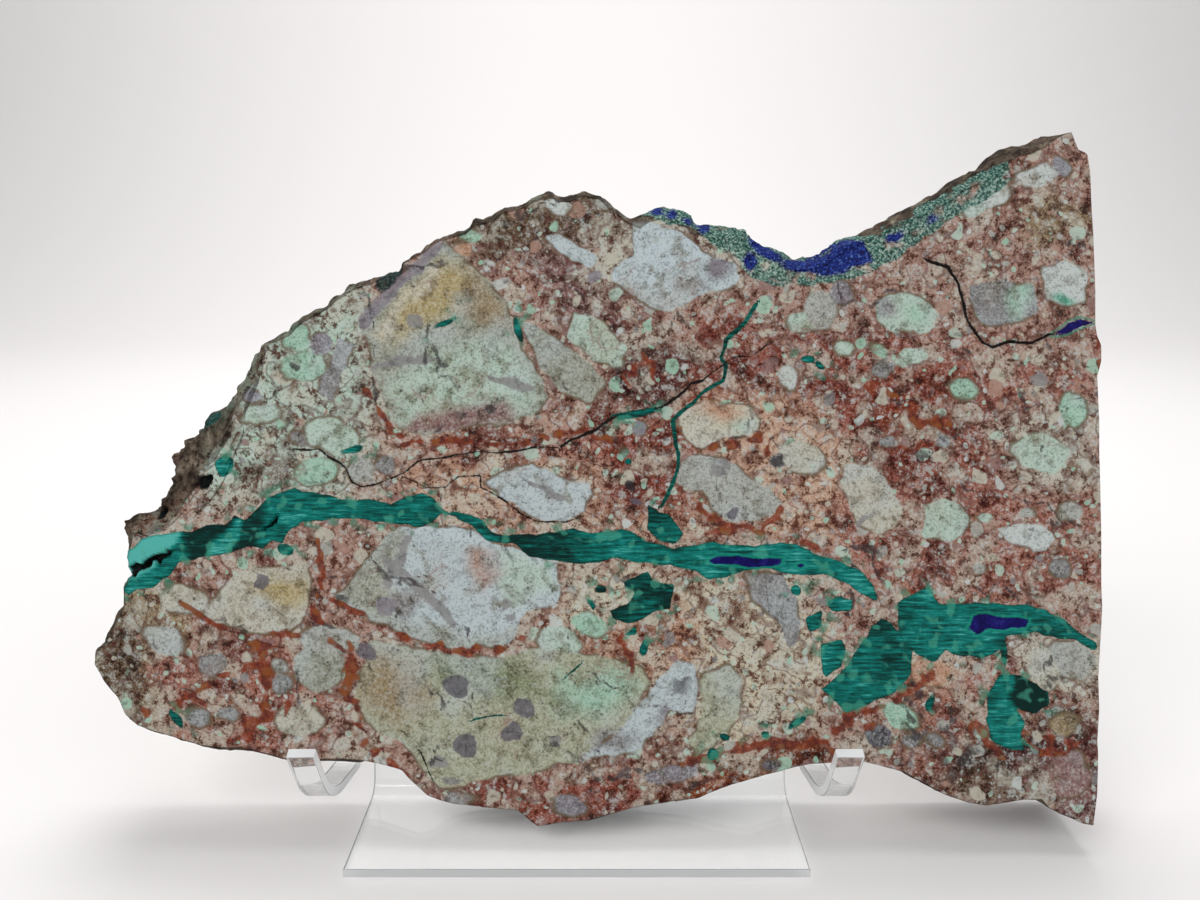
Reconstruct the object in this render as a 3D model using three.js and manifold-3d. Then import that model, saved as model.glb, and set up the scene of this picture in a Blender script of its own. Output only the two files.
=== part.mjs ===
// A sawn slab of azurite and malachite breccia that stands in the hooks of a clear acrylic easel.
// Millimetres, +Z up, +Y to the back. The origin is on the underside of the easel's base plate, on its
// centre line.
import * as THREE from 'three';
import { mergeVertices } from 'three/addons/utils/BufferGeometryUtils.js';
import Module from 'manifold-3d';

// Slab: overall width along the face, thickness, lean from upright, and where the face's reference point is
const SLAB_WIDTH = 320;
const SLAB_THICKNESS = 28;
const LEAN = THREE.MathUtils.degToRad(14);
const FACE_REFERENCE_Y = -5.9;
const FACE_REFERENCE_Z = 27.1;

// The outline is drawn in picture points. REFERENCE_POINT sits over the easel's centre line, at the height
// of the hooks, and the drawing's full width in points scales it to SLAB_WIDTH.
const REFERENCE_POINT = { across: 577.5, down: 768 };
const DRAWING_LEFT = 83;
const DRAWING_RIGHT = 1103;
const MM_PER_POINT = SLAB_WIDTH / (DRAWING_RIGHT - DRAWING_LEFT);
// The rim is worked inwards along straight lines to this point, which sees every point of the outline
const HEART = [600, 480];

// Clockwise stretches of the outline. bevel: how far the flat face stops short of the rim, in points.
// flare: how far the back stands out past the rim, or in from it where negative, in points.
// rough: lumps, in mm.
const OUTLINE = [
  {
    name: 'sawn right edge', bevel: 0, flare: 0, rough: 0,
    points: [[1079, 149], [1088, 153], [1091, 173], [1094, 234], [1096, 324], [1100, 422], [1102, 534],
      [1103, 607], [1099, 677], [1099, 754], [1094, 826]],
  },
  {
    name: 'lower right corner', bevel: 3, flare: -6, rough: 0.8,
    points: [[1084, 826], [1061, 817], [1043, 803], [1023, 803], [986, 809], [945, 798], [904, 775],
      [882, 769]],
  },
  {
    name: 'seat over the right hook', bevel: 3, flare: 25, rough: 0,
    points: [[862, 764], [845, 765], [828, 766], [811, 767], [796, 770]],
  },
  {
    name: 'hanging lobe', bevel: 3, flare: -24, rough: 0.8,
    points: [[772, 777], [735, 787], [700, 801], [656, 807], [630, 812], [592, 823], [560, 826], [537, 830],
      [516, 813], [497, 812], [451, 807], [426, 799], [406, 780], [383, 768]],
  },
  {
    name: 'seat over the left hook', bevel: 6, flare: 29, rough: 0,
    points: [[360, 766], [343, 765], [326, 765], [309, 766], [292, 768]],
  },
  {
    name: 'lower left', bevel: 9, flare: 4, rough: 0.9,
    points: [[268, 763], [239, 756], [214, 756], [179, 748], [153, 740], [131, 732], [118, 720], [110, 702],
      [97, 687], [86, 668]],
  },
  {
    name: 'left end', bevel: 14, flare: -10, rough: 1.4,
    points: [[83, 654], [96, 632], [110, 605], [118, 578], [114, 560], [107, 530], [123, 514], [144, 508]],
  },
  {
    name: 'left shoulder', bevel: 26, flare: -8, rough: 1.6,
    points: [[156, 479], [161, 457], [171, 445], [188, 420], [212, 403], [225, 383], [244, 348]],
  },
  {
    name: 'upper left', bevel: 12, flare: -4, rough: 1.2,
    points: [[269, 332], [295, 313], [330, 290], [360, 275], [394, 265], [406, 248], [432, 231], [461, 223]],
  },
  {
    name: 'crown', bevel: 10, flare: -4, rough: 1.1,
    points: [[489, 210], [521, 196], [550, 186], [566, 190], [584, 184], [601, 187], [630, 211]],
  },
  {
    name: 'azurite crust', bevel: 20, flare: 4, rough: 1.3,
    points: [[664, 201], [692, 210], [719, 221], [749, 223], [761, 237], [798, 254], [820, 251], [851, 228]],
  },
  {
    name: 'right horn', bevel: 13, flare: -4, rough: 1.0,
    points: [[896, 210], [949, 183], [965, 171], [994, 159], [1000, 149], [1019, 138], [1055, 126]],
  },
  { name: 'horn tip', bevel: 4, flare: -2, rough: 0.5, points: [[1076, 127]] },
];
// Spacing of the rim's stations in mm, and lumps per station and ring, broad and fine
const RIM_STEP = 4.2;
const BROAD_LUMPS = 0.37;
const FINE_LUMPS = 0.83;
// Rings from the face to the back: depth in mm, share of the bevel left and of the flare reached, and lumps
const RINGS = [
  { depth: 0, bevel: 1, flare: 0, lumps: 0 },
  { depth: 2.2, bevel: 0.62, flare: 0.02, lumps: 0.5 },
  { depth: 6, bevel: 0.2, flare: 0.1, lumps: 1 },
  { depth: 11, bevel: 0, flare: 0.3, lumps: 1 },
  { depth: 17, bevel: 0.05, flare: 0.72, lumps: 1 },
  { depth: 23, bevel: 0.08, flare: 1, lumps: 0.7 },
  { depth: SLAB_THICKNESS, bevel: 0.12, flare: 0.66, lumps: 0.25 },
];
// Hollows in the face and the rim: place in points, half sizes in mm, and turn in the face in degrees
const HOLLOWS = [
  { name: 'open cleft in the vein end', at: [146, 565], half: [10.5, 1.3, 4], turn: 25 },
  { name: 'slit in the vein', at: [272, 523], half: [4.2, 1.0, 2.5], turn: 44 },
  { name: 'hole in the shoulder', at: [207, 478], half: [2.6, 3.4, 5], turn: 10 },
  { name: 'open crack', at: [590, 433], half: [11, 0.7, 2.2], turn: 23 },
];
const HOLLOW_SIDES = 10;
const HOLLOW_STACKS = 7;

// Easel: one bent sheet. The plate lies on the table, the panel leans with the slab, the leg stands behind,
// and the strips beside the plate make the hooks. PANEL_APEX_Z is where panel and leg would meet if the top
// were not bent.
const SHEET = 3;
const STRIP_WIDTH = 8.1;
const STRIP_OUTER_X = 83.5;
const PLATE_HALF_WIDTH = 71;
const PLATE_FRONT_Y = -22;
const FIT_GAP = 0.3;
const LEDGE_BELOW_REFERENCE = 6.5;
const LIP_TOP = [-24.4, 44.2];
const LIP_SLANT = THREE.MathUtils.degToRad(26);
const LIP_BEND = 26;
const PANEL_APEX_Z = 158;
const SLOT_TOP_Z = 26;
const FOOT_Y = 94;
const FOOT_LENGTH = 16;
const SMALL_BEND = 7;
const LEDGE_BEND = 4.5;
const TOP_BEND = 9;
const BEND_STEPS = 7;

const wasm = await Module();
wasm.setup();

// Closed three.js geometry to a solid, and back
function solidOf(geometry) {
  const bare = geometry.clone();
  bare.deleteAttribute('normal');
  bare.deleteAttribute('uv');
  const merged = mergeVertices(bare, 1e-4);
  return new wasm.Manifold(new wasm.Mesh({
    numProp: 3,
    vertProperties: new Float32Array(merged.attributes.position.array),
    triVerts: new Uint32Array(merged.index.array),
  }));
}

function geometryOf(solid) {
  const mesh = solid.getMesh();
  const geometry = new THREE.BufferGeometry();
  geometry.setAttribute('position', new THREE.BufferAttribute(new Float32Array(mesh.vertProperties), 3));
  geometry.setIndex(new THREE.BufferAttribute(new Uint32Array(mesh.triVerts), 1));
  geometry.computeVertexNormals();
  return geometry;
}

// Face place (across, up, in), in mm from the reference point, to the object's frame
function onSlab(across, up, depth) {
  return new THREE.Vector3(
    across,
    FACE_REFERENCE_Y + up * Math.sin(LEAN) + depth * Math.cos(LEAN),
    FACE_REFERENCE_Z + up * Math.cos(LEAN) - depth * Math.sin(LEAN),
  );
}

// Smooth fixed noise from -1 to 1, for the lumps of the rim: the scattered fraction of a large sine at
// each corner
function corner(i, j) {
  const scattered = Math.sin(i * 127.1 + j * 311.7 + 17.3) * 43758.5453;
  return 2 * (scattered - Math.floor(scattered)) - 1;
}

function lump(x, y) {
  const [i, j] = [Math.floor(x), Math.floor(y)];
  const [a, b] = [THREE.MathUtils.smoothstep(x - i, 0, 1), THREE.MathUtils.smoothstep(y - j, 0, 1)];
  const low = THREE.MathUtils.lerp(corner(i, j), corner(i + 1, j), a);
  const high = THREE.MathUtils.lerp(corner(i, j + 1), corner(i + 1, j + 1), a);
  return THREE.MathUtils.lerp(low, high, b);
}

// The outline as even rim stations: place in points, with bevel, flare and roughness eased between stretches
function rimStations() {
  const drawn = OUTLINE.flatMap(({ bevel, flare, rough, points }) => (
    points.map(([x, y]) => ({ x, y, bevel, flare, rough }))));
  const stations = [];
  drawn.forEach((from, k) => {
    const to = drawn[(k + 1) % drawn.length];
    const length = Math.hypot(to.x - from.x, to.y - from.y) * MM_PER_POINT;
    const steps = Math.max(1, Math.round(length / RIM_STEP));
    for (let n = 0; n < steps; n += 1) {
      const share = n / steps;
      const between = (key) => THREE.MathUtils.lerp(from[key], to[key], share);
      stations.push({
        x: between('x'),
        y: between('y'),
        bevel: between('bevel'),
        flare: between('flare'),
        rough: between('rough'),
      });
    }
  });
  return stations;
}

// One ring of the rim: each station moves along its line to the heart by its bevel, flare and lumps
function rimRing(stations, { depth, bevel, flare, lumps }, level) {
  return stations.map((station, k) => {
    const [dx, dy] = [station.x - HEART[0], station.y - HEART[1]];
    const radius = Math.hypot(dx, dy);
    const roughness = station.rough * lumps / MM_PER_POINT;
    const broad = lump(k * BROAD_LUMPS, level * BROAD_LUMPS);
    const fine = lump(k * FINE_LUMPS, level * FINE_LUMPS);
    const moved = radius - station.bevel * bevel + station.flare * flare + roughness * (broad + fine);
    const across = (HEART[0] + dx * moved / radius - REFERENCE_POINT.across) * MM_PER_POINT;
    const up = (REFERENCE_POINT.down - HEART[1] - dy * moved / radius) * MM_PER_POINT;
    return { across, up, depth };
  });
}

function slabGeometry() {
  const stations = rimStations();
  const rings = RINGS.map((ring, level) => rimRing(stations, ring, level));
  const count = stations.length;
  const places = rings.flat().flatMap(({ across, up, depth }) => onSlab(across, up, depth).toArray());
  const faces = [];
  for (let level = 0; level + 1 < rings.length; level += 1) {
    for (let k = 0; k < count; k += 1) {
      const next = (k + 1) % count;
      const [a, b] = [level * count + k, level * count + next];
      faces.push(a, b, a + count, b, b + count, a + count);
    }
  }
  const flat = (ring) => ring.map(({ across, up }) => new THREE.Vector2(across, up));
  const back = (rings.length - 1) * count;
  const [frontFaces, backFaces] = [rings[0], rings.at(-1)].map((ring) => (
    THREE.ShapeUtils.triangulateShape(flat(ring), [])));
  frontFaces.forEach(([a, b, c]) => faces.push(a, b, c));
  backFaces.forEach(([a, b, c]) => faces.push(back + a, back + c, back + b));
  const geometry = new THREE.BufferGeometry();
  geometry.setAttribute('position', new THREE.Float32BufferAttribute(places, 3));
  geometry.setIndex(faces);
  return geometry;
}

// A hollow is an ellipsoid sunk half into the face
function hollowGeometry({ at, half, turn }) {
  const geometry = new THREE.SphereGeometry(1, HOLLOW_SIDES, HOLLOW_STACKS);
  geometry.scale(half[0], half[2], half[1]);
  geometry.rotateY(-THREE.MathUtils.degToRad(turn));
  geometry.rotateX(-LEAN);
  const across = (at[0] - REFERENCE_POINT.across) * MM_PER_POINT;
  const up = (REFERENCE_POINT.down - at[1]) * MM_PER_POINT;
  const place = onSlab(across, up, 0);
  geometry.translate(place.x, place.y, place.z);
  return geometry;
}

function slab() {
  let stone = solidOf(slabGeometry());
  HOLLOWS.forEach((hollow) => {
    stone = stone.subtract(solidOf(hollowGeometry(hollow)));
  });
  return geometryOf(stone);
}

// Centre line of a bent strip: corners in (y, z), with a bend radius at each inner one
function bentLine(corners, bends) {
  const at = corners.map(([y, z]) => new THREE.Vector2(y, z));
  const line = [at[0]];
  bends.forEach((radius, k) => {
    const [before, here, after] = [at[k], at[k + 1], at[k + 2]];
    const inward = before.clone().sub(here).normalize();
    const outward = after.clone().sub(here).normalize();
    const half = Math.acos(inward.dot(outward)) / 2;
    const tangent = radius / Math.tan(half);
    const centre = inward.clone().add(outward).normalize().multiplyScalar(radius / Math.sin(half)).add(here);
    const start = inward.clone().multiplyScalar(tangent).add(here).sub(centre);
    const end = outward.clone().multiplyScalar(tangent).add(here).sub(centre);
    const sweep = Math.atan2(start.cross(end), start.dot(end));
    for (let n = 0; n <= BEND_STEPS; n += 1) {
      const turned = start.clone().rotateAround(new THREE.Vector2(), sweep * n / BEND_STEPS);
      line.push(turned.add(centre));
    }
  });
  line.push(at.at(-1));
  return line;
}

// The sheet's two faces along a centre line: the line moved half a sheet to its left and to its right
function sheetFaces(line) {
  return [1, -1].map((side) => line.map((point, k) => {
    const before = line[Math.max(k - 1, 0)];
    const after = line[Math.min(k + 1, line.length - 1)];
    const along = after.clone().sub(before).normalize();
    return new THREE.Vector2(point.x - side * along.y * SHEET / 2, point.y + side * along.x * SHEET / 2);
  }));
}

// Four-sided patch of a sheet, from corners in order, as two triangles
function patch(corners) {
  const [a, b, c, d] = corners.map(([x, point]) => [x, point.x, point.y]);
  return [...a, ...b, ...c, ...a, ...c, ...d];
}

// A strip of sheet along a line, with columns of quads between the x places and walls at the outer two
function strip([left, right], places) {
  const [low, high] = [places[0], places.at(-1)];
  return left.slice(1).flatMap((_, k) => [
    ...places.slice(1).flatMap((to, n) => {
      const from = places[n];
      return [
        ...patch([[from, left[k]], [to, left[k]], [to, left[k + 1]], [from, left[k + 1]]]),
        ...patch([[from, right[k]], [from, right[k + 1]], [to, right[k + 1]], [to, right[k]]]),
      ];
    }),
    ...patch([[low, left[k]], [low, left[k + 1]], [low, right[k + 1]], [low, right[k]]]),
    ...patch([[high, left[k]], [high, right[k]], [high, right[k + 1]], [high, left[k + 1]]]),
  ]);
}

// The sheet's cut edge across the start of a line, or across its end
function startEdge([left, right], from, to) {
  return patch([[from, left[0]], [from, right[0]], [to, right[0]], [to, left[0]]]);
}

function endEdge([left, right], from, to) {
  return patch([[from, left.at(-1)], [to, left.at(-1)], [to, right.at(-1)], [from, right.at(-1)]]);
}

// Point of the back panel's mid-plane at a height
function panelAt(z) {
  const start = onSlab(0, 0, SLAB_THICKNESS + FIT_GAP + SHEET / 2);
  return [start.y + (z - start.z) * Math.tan(LEAN), z];
}

// Where two lines in (y, z) cross, each given by a point and a direction
function crossing([y0, z0], [dy0, dz0], [y1, z1], [dy1, dz1]) {
  const share = ((y1 - y0) * dz1 - (z1 - z0) * dy1) / (dy0 * dz1 - dz0 * dy1);
  return [y0 + dy0 * share, z0 + dz0 * share];
}

function easel() {
  const middle = SHEET / 2;
  const plateCorner = panelAt(middle);
  const foot = [[FOOT_Y, middle], [FOOT_Y + FOOT_LENGTH, middle]];
  const base = bentLine([[PLATE_FRONT_Y, middle], plateCorner, panelAt(SLOT_TOP_Z)], [SMALL_BEND]);
  const back = bentLine([panelAt(SLOT_TOP_Z), panelAt(PANEL_APEX_Z), ...foot], [TOP_BEND, SMALL_BEND]);
  const ledge = onSlab(0, -LEDGE_BELOW_REFERENCE - middle, 0);
  const ledgeRun = [Math.cos(LEAN), -Math.sin(LEAN)];
  const lipRun = [Math.sin(LIP_SLANT), -Math.cos(LIP_SLANT)];
  const ledgeCorner = crossing([ledge.y, ledge.z], ledgeRun, panelAt(0), [Math.sin(LEAN), Math.cos(LEAN)]);
  const lipCorner = crossing([ledge.y, ledge.z], ledgeRun, LIP_TOP, lipRun);
  const hook = bentLine([LIP_TOP, lipCorner, ledgeCorner, panelAt(SLOT_TOP_Z)], [LIP_BEND, LEDGE_BEND]);
  const [plateFaces, backFaces, hookFaces] = [base, back, hook].map(sheetFaces);
  const [outer, inner, plate] = [STRIP_OUTER_X, STRIP_OUTER_X - STRIP_WIDTH, PLATE_HALF_WIDTH];
  const columns = [-outer, -inner, -plate, plate, inner, outer];
  const triangles = [
    ...strip(plateFaces, [-plate, plate]),
    ...startEdge(plateFaces, -plate, plate),
    ...strip(backFaces, columns),
    ...columns.slice(1).flatMap((to, n) => endEdge(backFaces, columns[n], to)),
    ...[[-outer, -inner], [inner, outer]].flatMap((places) => [
      ...strip(hookFaces, places),
      ...startEdge(hookFaces, ...places),
    ]),
    ...[[-inner, -plate], [plate, inner]].flatMap((slot) => startEdge(backFaces, ...slot)),
  ];
  const geometry = new THREE.BufferGeometry();
  geometry.setAttribute('position', new THREE.Float32BufferAttribute(triangles, 3));
  return geometryOf(solidOf(geometry));
}

const breccia = new THREE.MeshStandardMaterial({ color: 0x9a8f7c, roughness: 0.6, metalness: 0 });
const clearAcrylic = new THREE.MeshStandardMaterial({ color: 0xeef2f2, roughness: 0.05, metalness: 0 });
const stone = new THREE.Mesh(slab(), breccia);
stone.name = 'slab';
const stand = new THREE.Mesh(easel(), clearAcrylic);
stand.name = 'easel';
const specimen = new THREE.Group();
specimen.add(stone, stand);

export default specimen;
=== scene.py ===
"""A sawn slab of azurite and malachite breccia, leaning in the hooks of a clear acrylic easel."""
import math

import bpy
import numpy as np
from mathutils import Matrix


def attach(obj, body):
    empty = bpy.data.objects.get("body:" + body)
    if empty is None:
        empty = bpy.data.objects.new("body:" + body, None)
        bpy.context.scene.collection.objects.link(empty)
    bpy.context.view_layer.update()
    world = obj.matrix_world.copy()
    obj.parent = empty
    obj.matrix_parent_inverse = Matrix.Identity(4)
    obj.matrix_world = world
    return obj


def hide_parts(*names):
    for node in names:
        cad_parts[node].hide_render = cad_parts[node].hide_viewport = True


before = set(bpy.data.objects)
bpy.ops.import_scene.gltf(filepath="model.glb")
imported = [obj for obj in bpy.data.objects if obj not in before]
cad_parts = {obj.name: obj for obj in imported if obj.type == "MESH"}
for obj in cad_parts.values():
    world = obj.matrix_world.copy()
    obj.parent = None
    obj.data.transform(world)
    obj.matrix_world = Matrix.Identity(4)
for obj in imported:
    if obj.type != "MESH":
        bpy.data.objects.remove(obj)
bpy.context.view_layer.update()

# Slab sizes in millimetres, and how the drawing's picture points lie on its face
SLAB_WIDTH = 320.0
SLAB_THICKNESS = 28.0
LEAN = math.radians(14.0)
FACE_REFERENCE_Y = -5.9
FACE_REFERENCE_Z = 27.1
REFERENCE_ACROSS = 577.5
REFERENCE_DOWN = 768.0
DRAWING_WIDTH = 1020.0
MM_PER_POINT = SLAB_WIDTH / DRAWING_WIDTH
# The middle of the face, towards which the rim is worked
HEART = np.array([600.0, 480.0])
# Squares of the face along its length and its height; the back has half as many each way
FACE_COLUMNS = 320
FACE_ROWS = 190

# Clockwise stretches of the outline in points: bevel and flare in points, rough in mm
OUTLINE = [
    ("horn tip", 6, -2, 0.6, [(1076, 127)]),
    ("sawn right edge", 0, 0, 0.1, [
        (1079, 149), (1088, 153), (1091, 173), (1092, 202), (1094, 234), (1095, 259), (1096, 291),
        (1096, 324), (1098, 336), (1102, 345), (1102, 361), (1098, 376), (1100, 422), (1100, 452),
        (1101, 485), (1102, 534), (1102, 586), (1103, 607), (1101, 644), (1099, 677), (1100, 709),
        (1098, 742), (1099, 754), (1098, 795), (1094, 826)]),
    ("lower right corner", 3, -6, 0.8, [
        (1084, 826), (1061, 817), (1049, 811), (1043, 803), (1023, 803), (1006, 806), (986, 809),
        (970, 806), (945, 798), (921, 785), (904, 775), (882, 769)]),
    ("seat over the right hook", 3, 25, 0.0, [(862, 764), (845, 765), (828, 766), (811, 767), (796, 770)]),
    ("hanging lobe", 3, -24, 0.8, [
        (772, 777), (735, 787), (713, 795), (700, 801), (656, 807), (630, 812), (592, 823), (560, 826),
        (537, 830), (516, 813), (497, 812), (451, 807), (426, 799), (413, 787), (406, 780), (400, 773),
        (383, 768)]),
    ("seat over the left hook", 6, 29, 0.0, [(360, 766), (343, 765), (326, 765), (309, 766), (292, 768)]),
    ("lower left", 9, 4, 0.9, [
        (268, 763), (239, 756), (214, 756), (195, 753), (179, 748), (153, 740), (131, 732), (118, 720),
        (110, 702), (97, 687), (86, 668)]),
    ("left end", 14, -10, 1.4, [(83, 654), (96, 632), (110, 605), (110, 586), (118, 578), (114, 560)]),
    ("left knob", 30, -10, 1.9, [(107, 530), (113, 522), (123, 514), (144, 508)]),
    ("left shoulder", 42, -8, 1.9, [
        (156, 479), (158, 466), (161, 457), (171, 445), (188, 420), (196, 411)]),
    ("upper shoulder", 24, -8, 1.6, [(212, 403), (225, 383), (236, 366), (244, 348)]),
    ("upper left", 12, -4, 1.3, [
        (252, 340), (269, 332), (282, 326), (295, 313), (317, 302), (330, 290), (343, 281), (360, 275),
        (381, 267), (394, 265), (396, 254), (406, 248), (419, 241), (432, 231), (448, 226), (461, 223)]),
    ("crown", 12, -4, 1.2, [
        (469, 215), (489, 210), (496, 203), (521, 196), (534, 189), (550, 186), (555, 190), (566, 190),
        (584, 184), (601, 187), (613, 197), (630, 211)]),
    ("azurite crust", 18, 4, 1.3, [
        (641, 210), (652, 203), (664, 201), (675, 205), (692, 210), (697, 217), (719, 221), (737, 223),
        (749, 223), (750, 228), (761, 237), (780, 244), (798, 254), (820, 251), (831, 242), (851, 228)]),
    ("right horn", 18, -4, 1.2, [
        (868, 224), (896, 210), (921, 198), (949, 183), (965, 171), (994, 159), (1000, 149), (1019, 138),
        (1035, 135), (1055, 126)]),
]
# The corners where the face's four sides meet, after the horn tip, where the outline starts
FOOT = (1094, 826)
TOE = (83, 654)
SHOULDER = (188, 420)
# Profile of the rim: depth in mm, share of the bevel left, share of the flare reached, and lumps
PROFILE_DEPTH = [0.0, 2.2, 6.0, 11.0, 17.0, 23.0, 28.0]
PROFILE_BEVEL = [1.0, 0.62, 0.2, 0.0, 0.05, 0.08, 0.12]
PROFILE_FLARE = [0.0, 0.02, 0.1, 0.3, 0.72, 1.0, 0.66]
PROFILE_LUMPS = [0.0, 0.5, 1.0, 1.0, 1.0, 0.7, 0.25]
# Depths in mm of the rings of points that make the rim
RING_DEPTHS = [
    0.0, 0.4, 1.0, 1.8, 2.7, 3.7, 4.9, 6.2, 7.6, 9.2, 11.0, 13.2, 15.6, 18.0, 20.5, 23.0, 25.5, 27.4]
# Roughness in mm from which the rim is wholly natural, and the natural share of the wide-flaring seats
WHOLLY_ROUGH = 0.7
SEAT_SHARE = 0.75
SEAT_FLARE = 10
# Depth in mm down to which hollows and the crust's beads shape the rim
WORKED_DEPTH = 12.0
# Stations on each side over which the outline is evened to find its way inwards
EVENED = 9
# Width in mm broken off the sharp edge round the face and round the back
EDGE_BREAK = 0.35

# Tones by name, as they look in bright daylight, and the share of that light that the dry stone gives back
TONE_DEPTH = 0.8
TONES = {
    "rosy": "#B08C7C",
    "pink": "#A8705F",
    "brick": "#96503E",
    "rust": "#8C3C20",
    "amber": "#8E4A20",
    "maroon": "#5C2C26",
    "mauve": "#94726E",
    "salmon": "#C69A7E",
    "peach": "#CDA98F",
    "cream": "#D2C9B0",
    "straw": "#B9A878",
    "tan": "#A08D6C",
    "umber": "#6E5A45",
    "sage": "#B2B49A",
    "sage_grey": "#A6AA9C",
    "moss": "#8C9670",
    "mint": "#A6CDB6",
    "pale_mint": "#BCD2C2",
    "white_blue": "#C4D0D3",
    "ice": "#C8D6DB",
    "white": "#CDD4D0",
    "bone": "#C6C2B1",
    "pale_grey": "#B0B2AA",
    "grey": "#8E8C8C",
    "lilac": "#8C868E",
    "slate": "#65606A",
    "soot": "#3B3436",
    "teal": "#4FAE92",
}


def linear(name):
    """Tone as linear red, green and blue, from its screen value."""
    text = TONES[name]
    screen = np.array([int(text[k:k + 2], 16) for k in (1, 3, 5)]) / 255.0
    return TONE_DEPTH * np.where(screen <= 0.04045, screen / 12.92, ((screen + 0.055) / 1.055) ** 2.4)


def scattered(cells, seed):
    """A value from 0 to 1 for each whole-number cell: the fraction of a large sine of its coordinates."""
    turns = cells @ np.array([127.1, 311.7, 74.7]) + 17.3 * seed
    return np.modf(np.abs(np.sin(turns) * 43758.5453))[0]


def lumps(points, size, seed):
    """Smooth noise from -1 to 1 in blobs of one size: eight scattered corner values, eased between."""
    places = points / size
    cells = np.floor(places)
    shares = places - cells
    shares = shares * shares * (3.0 - 2.0 * shares)
    total = np.zeros(len(points))
    for corner in range(8):
        step = np.array([corner & 1, corner >> 1 & 1, corner >> 2 & 1], dtype=float)
        weight = np.prod(np.where(step > 0, shares, 1.0 - shares), axis=1)
        total += weight * scattered(cells + step, seed)
    return 2.0 * total - 1.0


# A turn of the stone's millimetres, so that the lattice of the noise doesn't lie square to the face
TURNED = np.array([[0.802, -0.548, 0.237], [0.414, 0.78, 0.469], [-0.442, -0.278, 0.851]])


def cell_walls(points, size, seed):
    """Distance in mm to the walls of cells round scattered centres: half of second nearest less nearest."""
    places = points / size
    home = np.floor(places)
    nearest = np.full(len(points), 9.0)
    second = np.full(len(points), 9.0)
    for step in np.ndindex(3, 3, 3):
        cells = home + np.array(step) - 1.0
        centres = cells + np.column_stack([scattered(cells, seed + k) for k in range(3)])
        gap = np.sqrt(np.sum((places - centres) ** 2, axis=1))
        second = np.minimum(second, np.maximum(nearest, gap))
        nearest = np.minimum(nearest, gap)
    return 0.5 * (second - nearest) * size


def pushes(points, size, seeds):
    """Pushes in two or three directions: one noise of the same size for each."""
    return np.column_stack([lumps(points, size, seed) for seed in seeds])


def eased(value, low, high):
    """Smooth step from 0 at low to 1 at high."""
    share = np.clip((value - low) / (high - low), 0.0, 1.0)
    return share * share * (3.0 - 2.0 * share)


def on_slab(places, depth):
    """Picture points and depth in mm to the object's frame in metres: the face leans back about its foot."""
    across = (places[:, 0] - REFERENCE_ACROSS) * MM_PER_POINT
    up = (REFERENCE_DOWN - places[:, 1]) * MM_PER_POINT
    back = FACE_REFERENCE_Y + up * math.sin(LEAN) + depth * math.cos(LEAN)
    height = FACE_REFERENCE_Z + up * math.cos(LEAN) - depth * math.sin(LEAN)
    return np.stack([across, back, height], axis=1) / 1000.0


def solid_places(places, depth):
    """Picture points and depth as one set of millimetres, for noise that runs through the stone."""
    return np.column_stack([places * MM_PER_POINT, depth])


def outline_sides():
    """The outline's four sides, each a run of rows (x, y, bevel, flare, rough) from corner to corner."""
    rows = [
        (x, y, bevel, flare, rough)
        for _, bevel, flare, rough, points in OUTLINE
        for x, y in points
    ]
    rows.append(rows[0])
    rows = np.array(rows, dtype=float)
    at = [int(np.argmin(np.hypot(rows[1:, 0] - x, rows[1:, 1] - y))) + 1 for x, y in (FOOT, TOE, SHOULDER)]
    return [rows[:at[0] + 1], rows[at[0]:at[1] + 1], rows[at[1]:at[2] + 1], rows[at[2]:]]


def even_stations(rows, count):
    """Rows respaced evenly along a side, count steps from end to end."""
    steps = np.hypot(np.diff(rows[:, 0]), np.diff(rows[:, 1]))
    along = np.concatenate([[0.0], np.cumsum(steps)])
    wanted = np.linspace(0.0, along[-1], count + 1)
    return np.column_stack([np.interp(wanted, along, column) for column in rows.T])


def facing_inwards(loop):
    """Stations with their way inwards added: mostly square to the evened outline, partly to the heart."""
    run = np.roll(loop[:, :2], -EVENED, axis=0) - np.roll(loop[:, :2], EVENED, axis=0)
    square = np.column_stack([-run[:, 1], run[:, 0]]) / np.hypot(run[:, 0], run[:, 1])[:, None]
    arm = HEART - loop[:, :2]
    way = square + 0.5 * arm / np.hypot(arm[:, 0], arm[:, 1])[:, None]
    return np.column_stack([loop, way / np.hypot(way[:, 0], way[:, 1])[:, None]])


def rim_pits(at):
    """Pits of the broken rim, from 0 up: what a noise of either sign has over a threshold."""
    return np.clip(np.abs(lumps(at, 5.2, 5)) - 0.35, 0.0, 1.0)


def rim_ring(stations, depth):
    """One ring of the rim: bevel and lumps move a station inwards, flare along its line to the heart."""
    arm = stations[:, :2] - HEART
    bevel = np.interp(depth, PROFILE_DEPTH, PROFILE_BEVEL)
    flare = np.interp(depth, PROFILE_DEPTH, PROFILE_FLARE)
    share = np.interp(depth, PROFILE_DEPTH, PROFILE_LUMPS)
    at = solid_places(stations[:, :2], np.full(len(stations), depth))
    broad = lumps(at, 9.0, 1) + 0.6 * lumps(at, 4.2, 2)
    craggy = 0.5 - np.abs(lumps(at, 3.1, 3)) + 0.5 * lumps(at, 1.5, 4)
    pits = rim_pits(at)
    rough = stations[:, 4] * (share * (0.8 * broad - 1.6 * pits) + (0.25 + 0.75 * share) * 0.7 * craggy)
    breaks = EDGE_BREAK if depth < 0.1 or depth > SLAB_THICKNESS - 0.1 else 0.0
    inwards = stations[:, 2] * bevel + (breaks - rough) / MM_PER_POINT
    outwards = stations[:, 3] * flare / np.hypot(arm[:, 0], arm[:, 1])
    return stations[:, :2] + stations[:, 5:7] * inwards[:, None] + arm * outwards[:, None]


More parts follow.
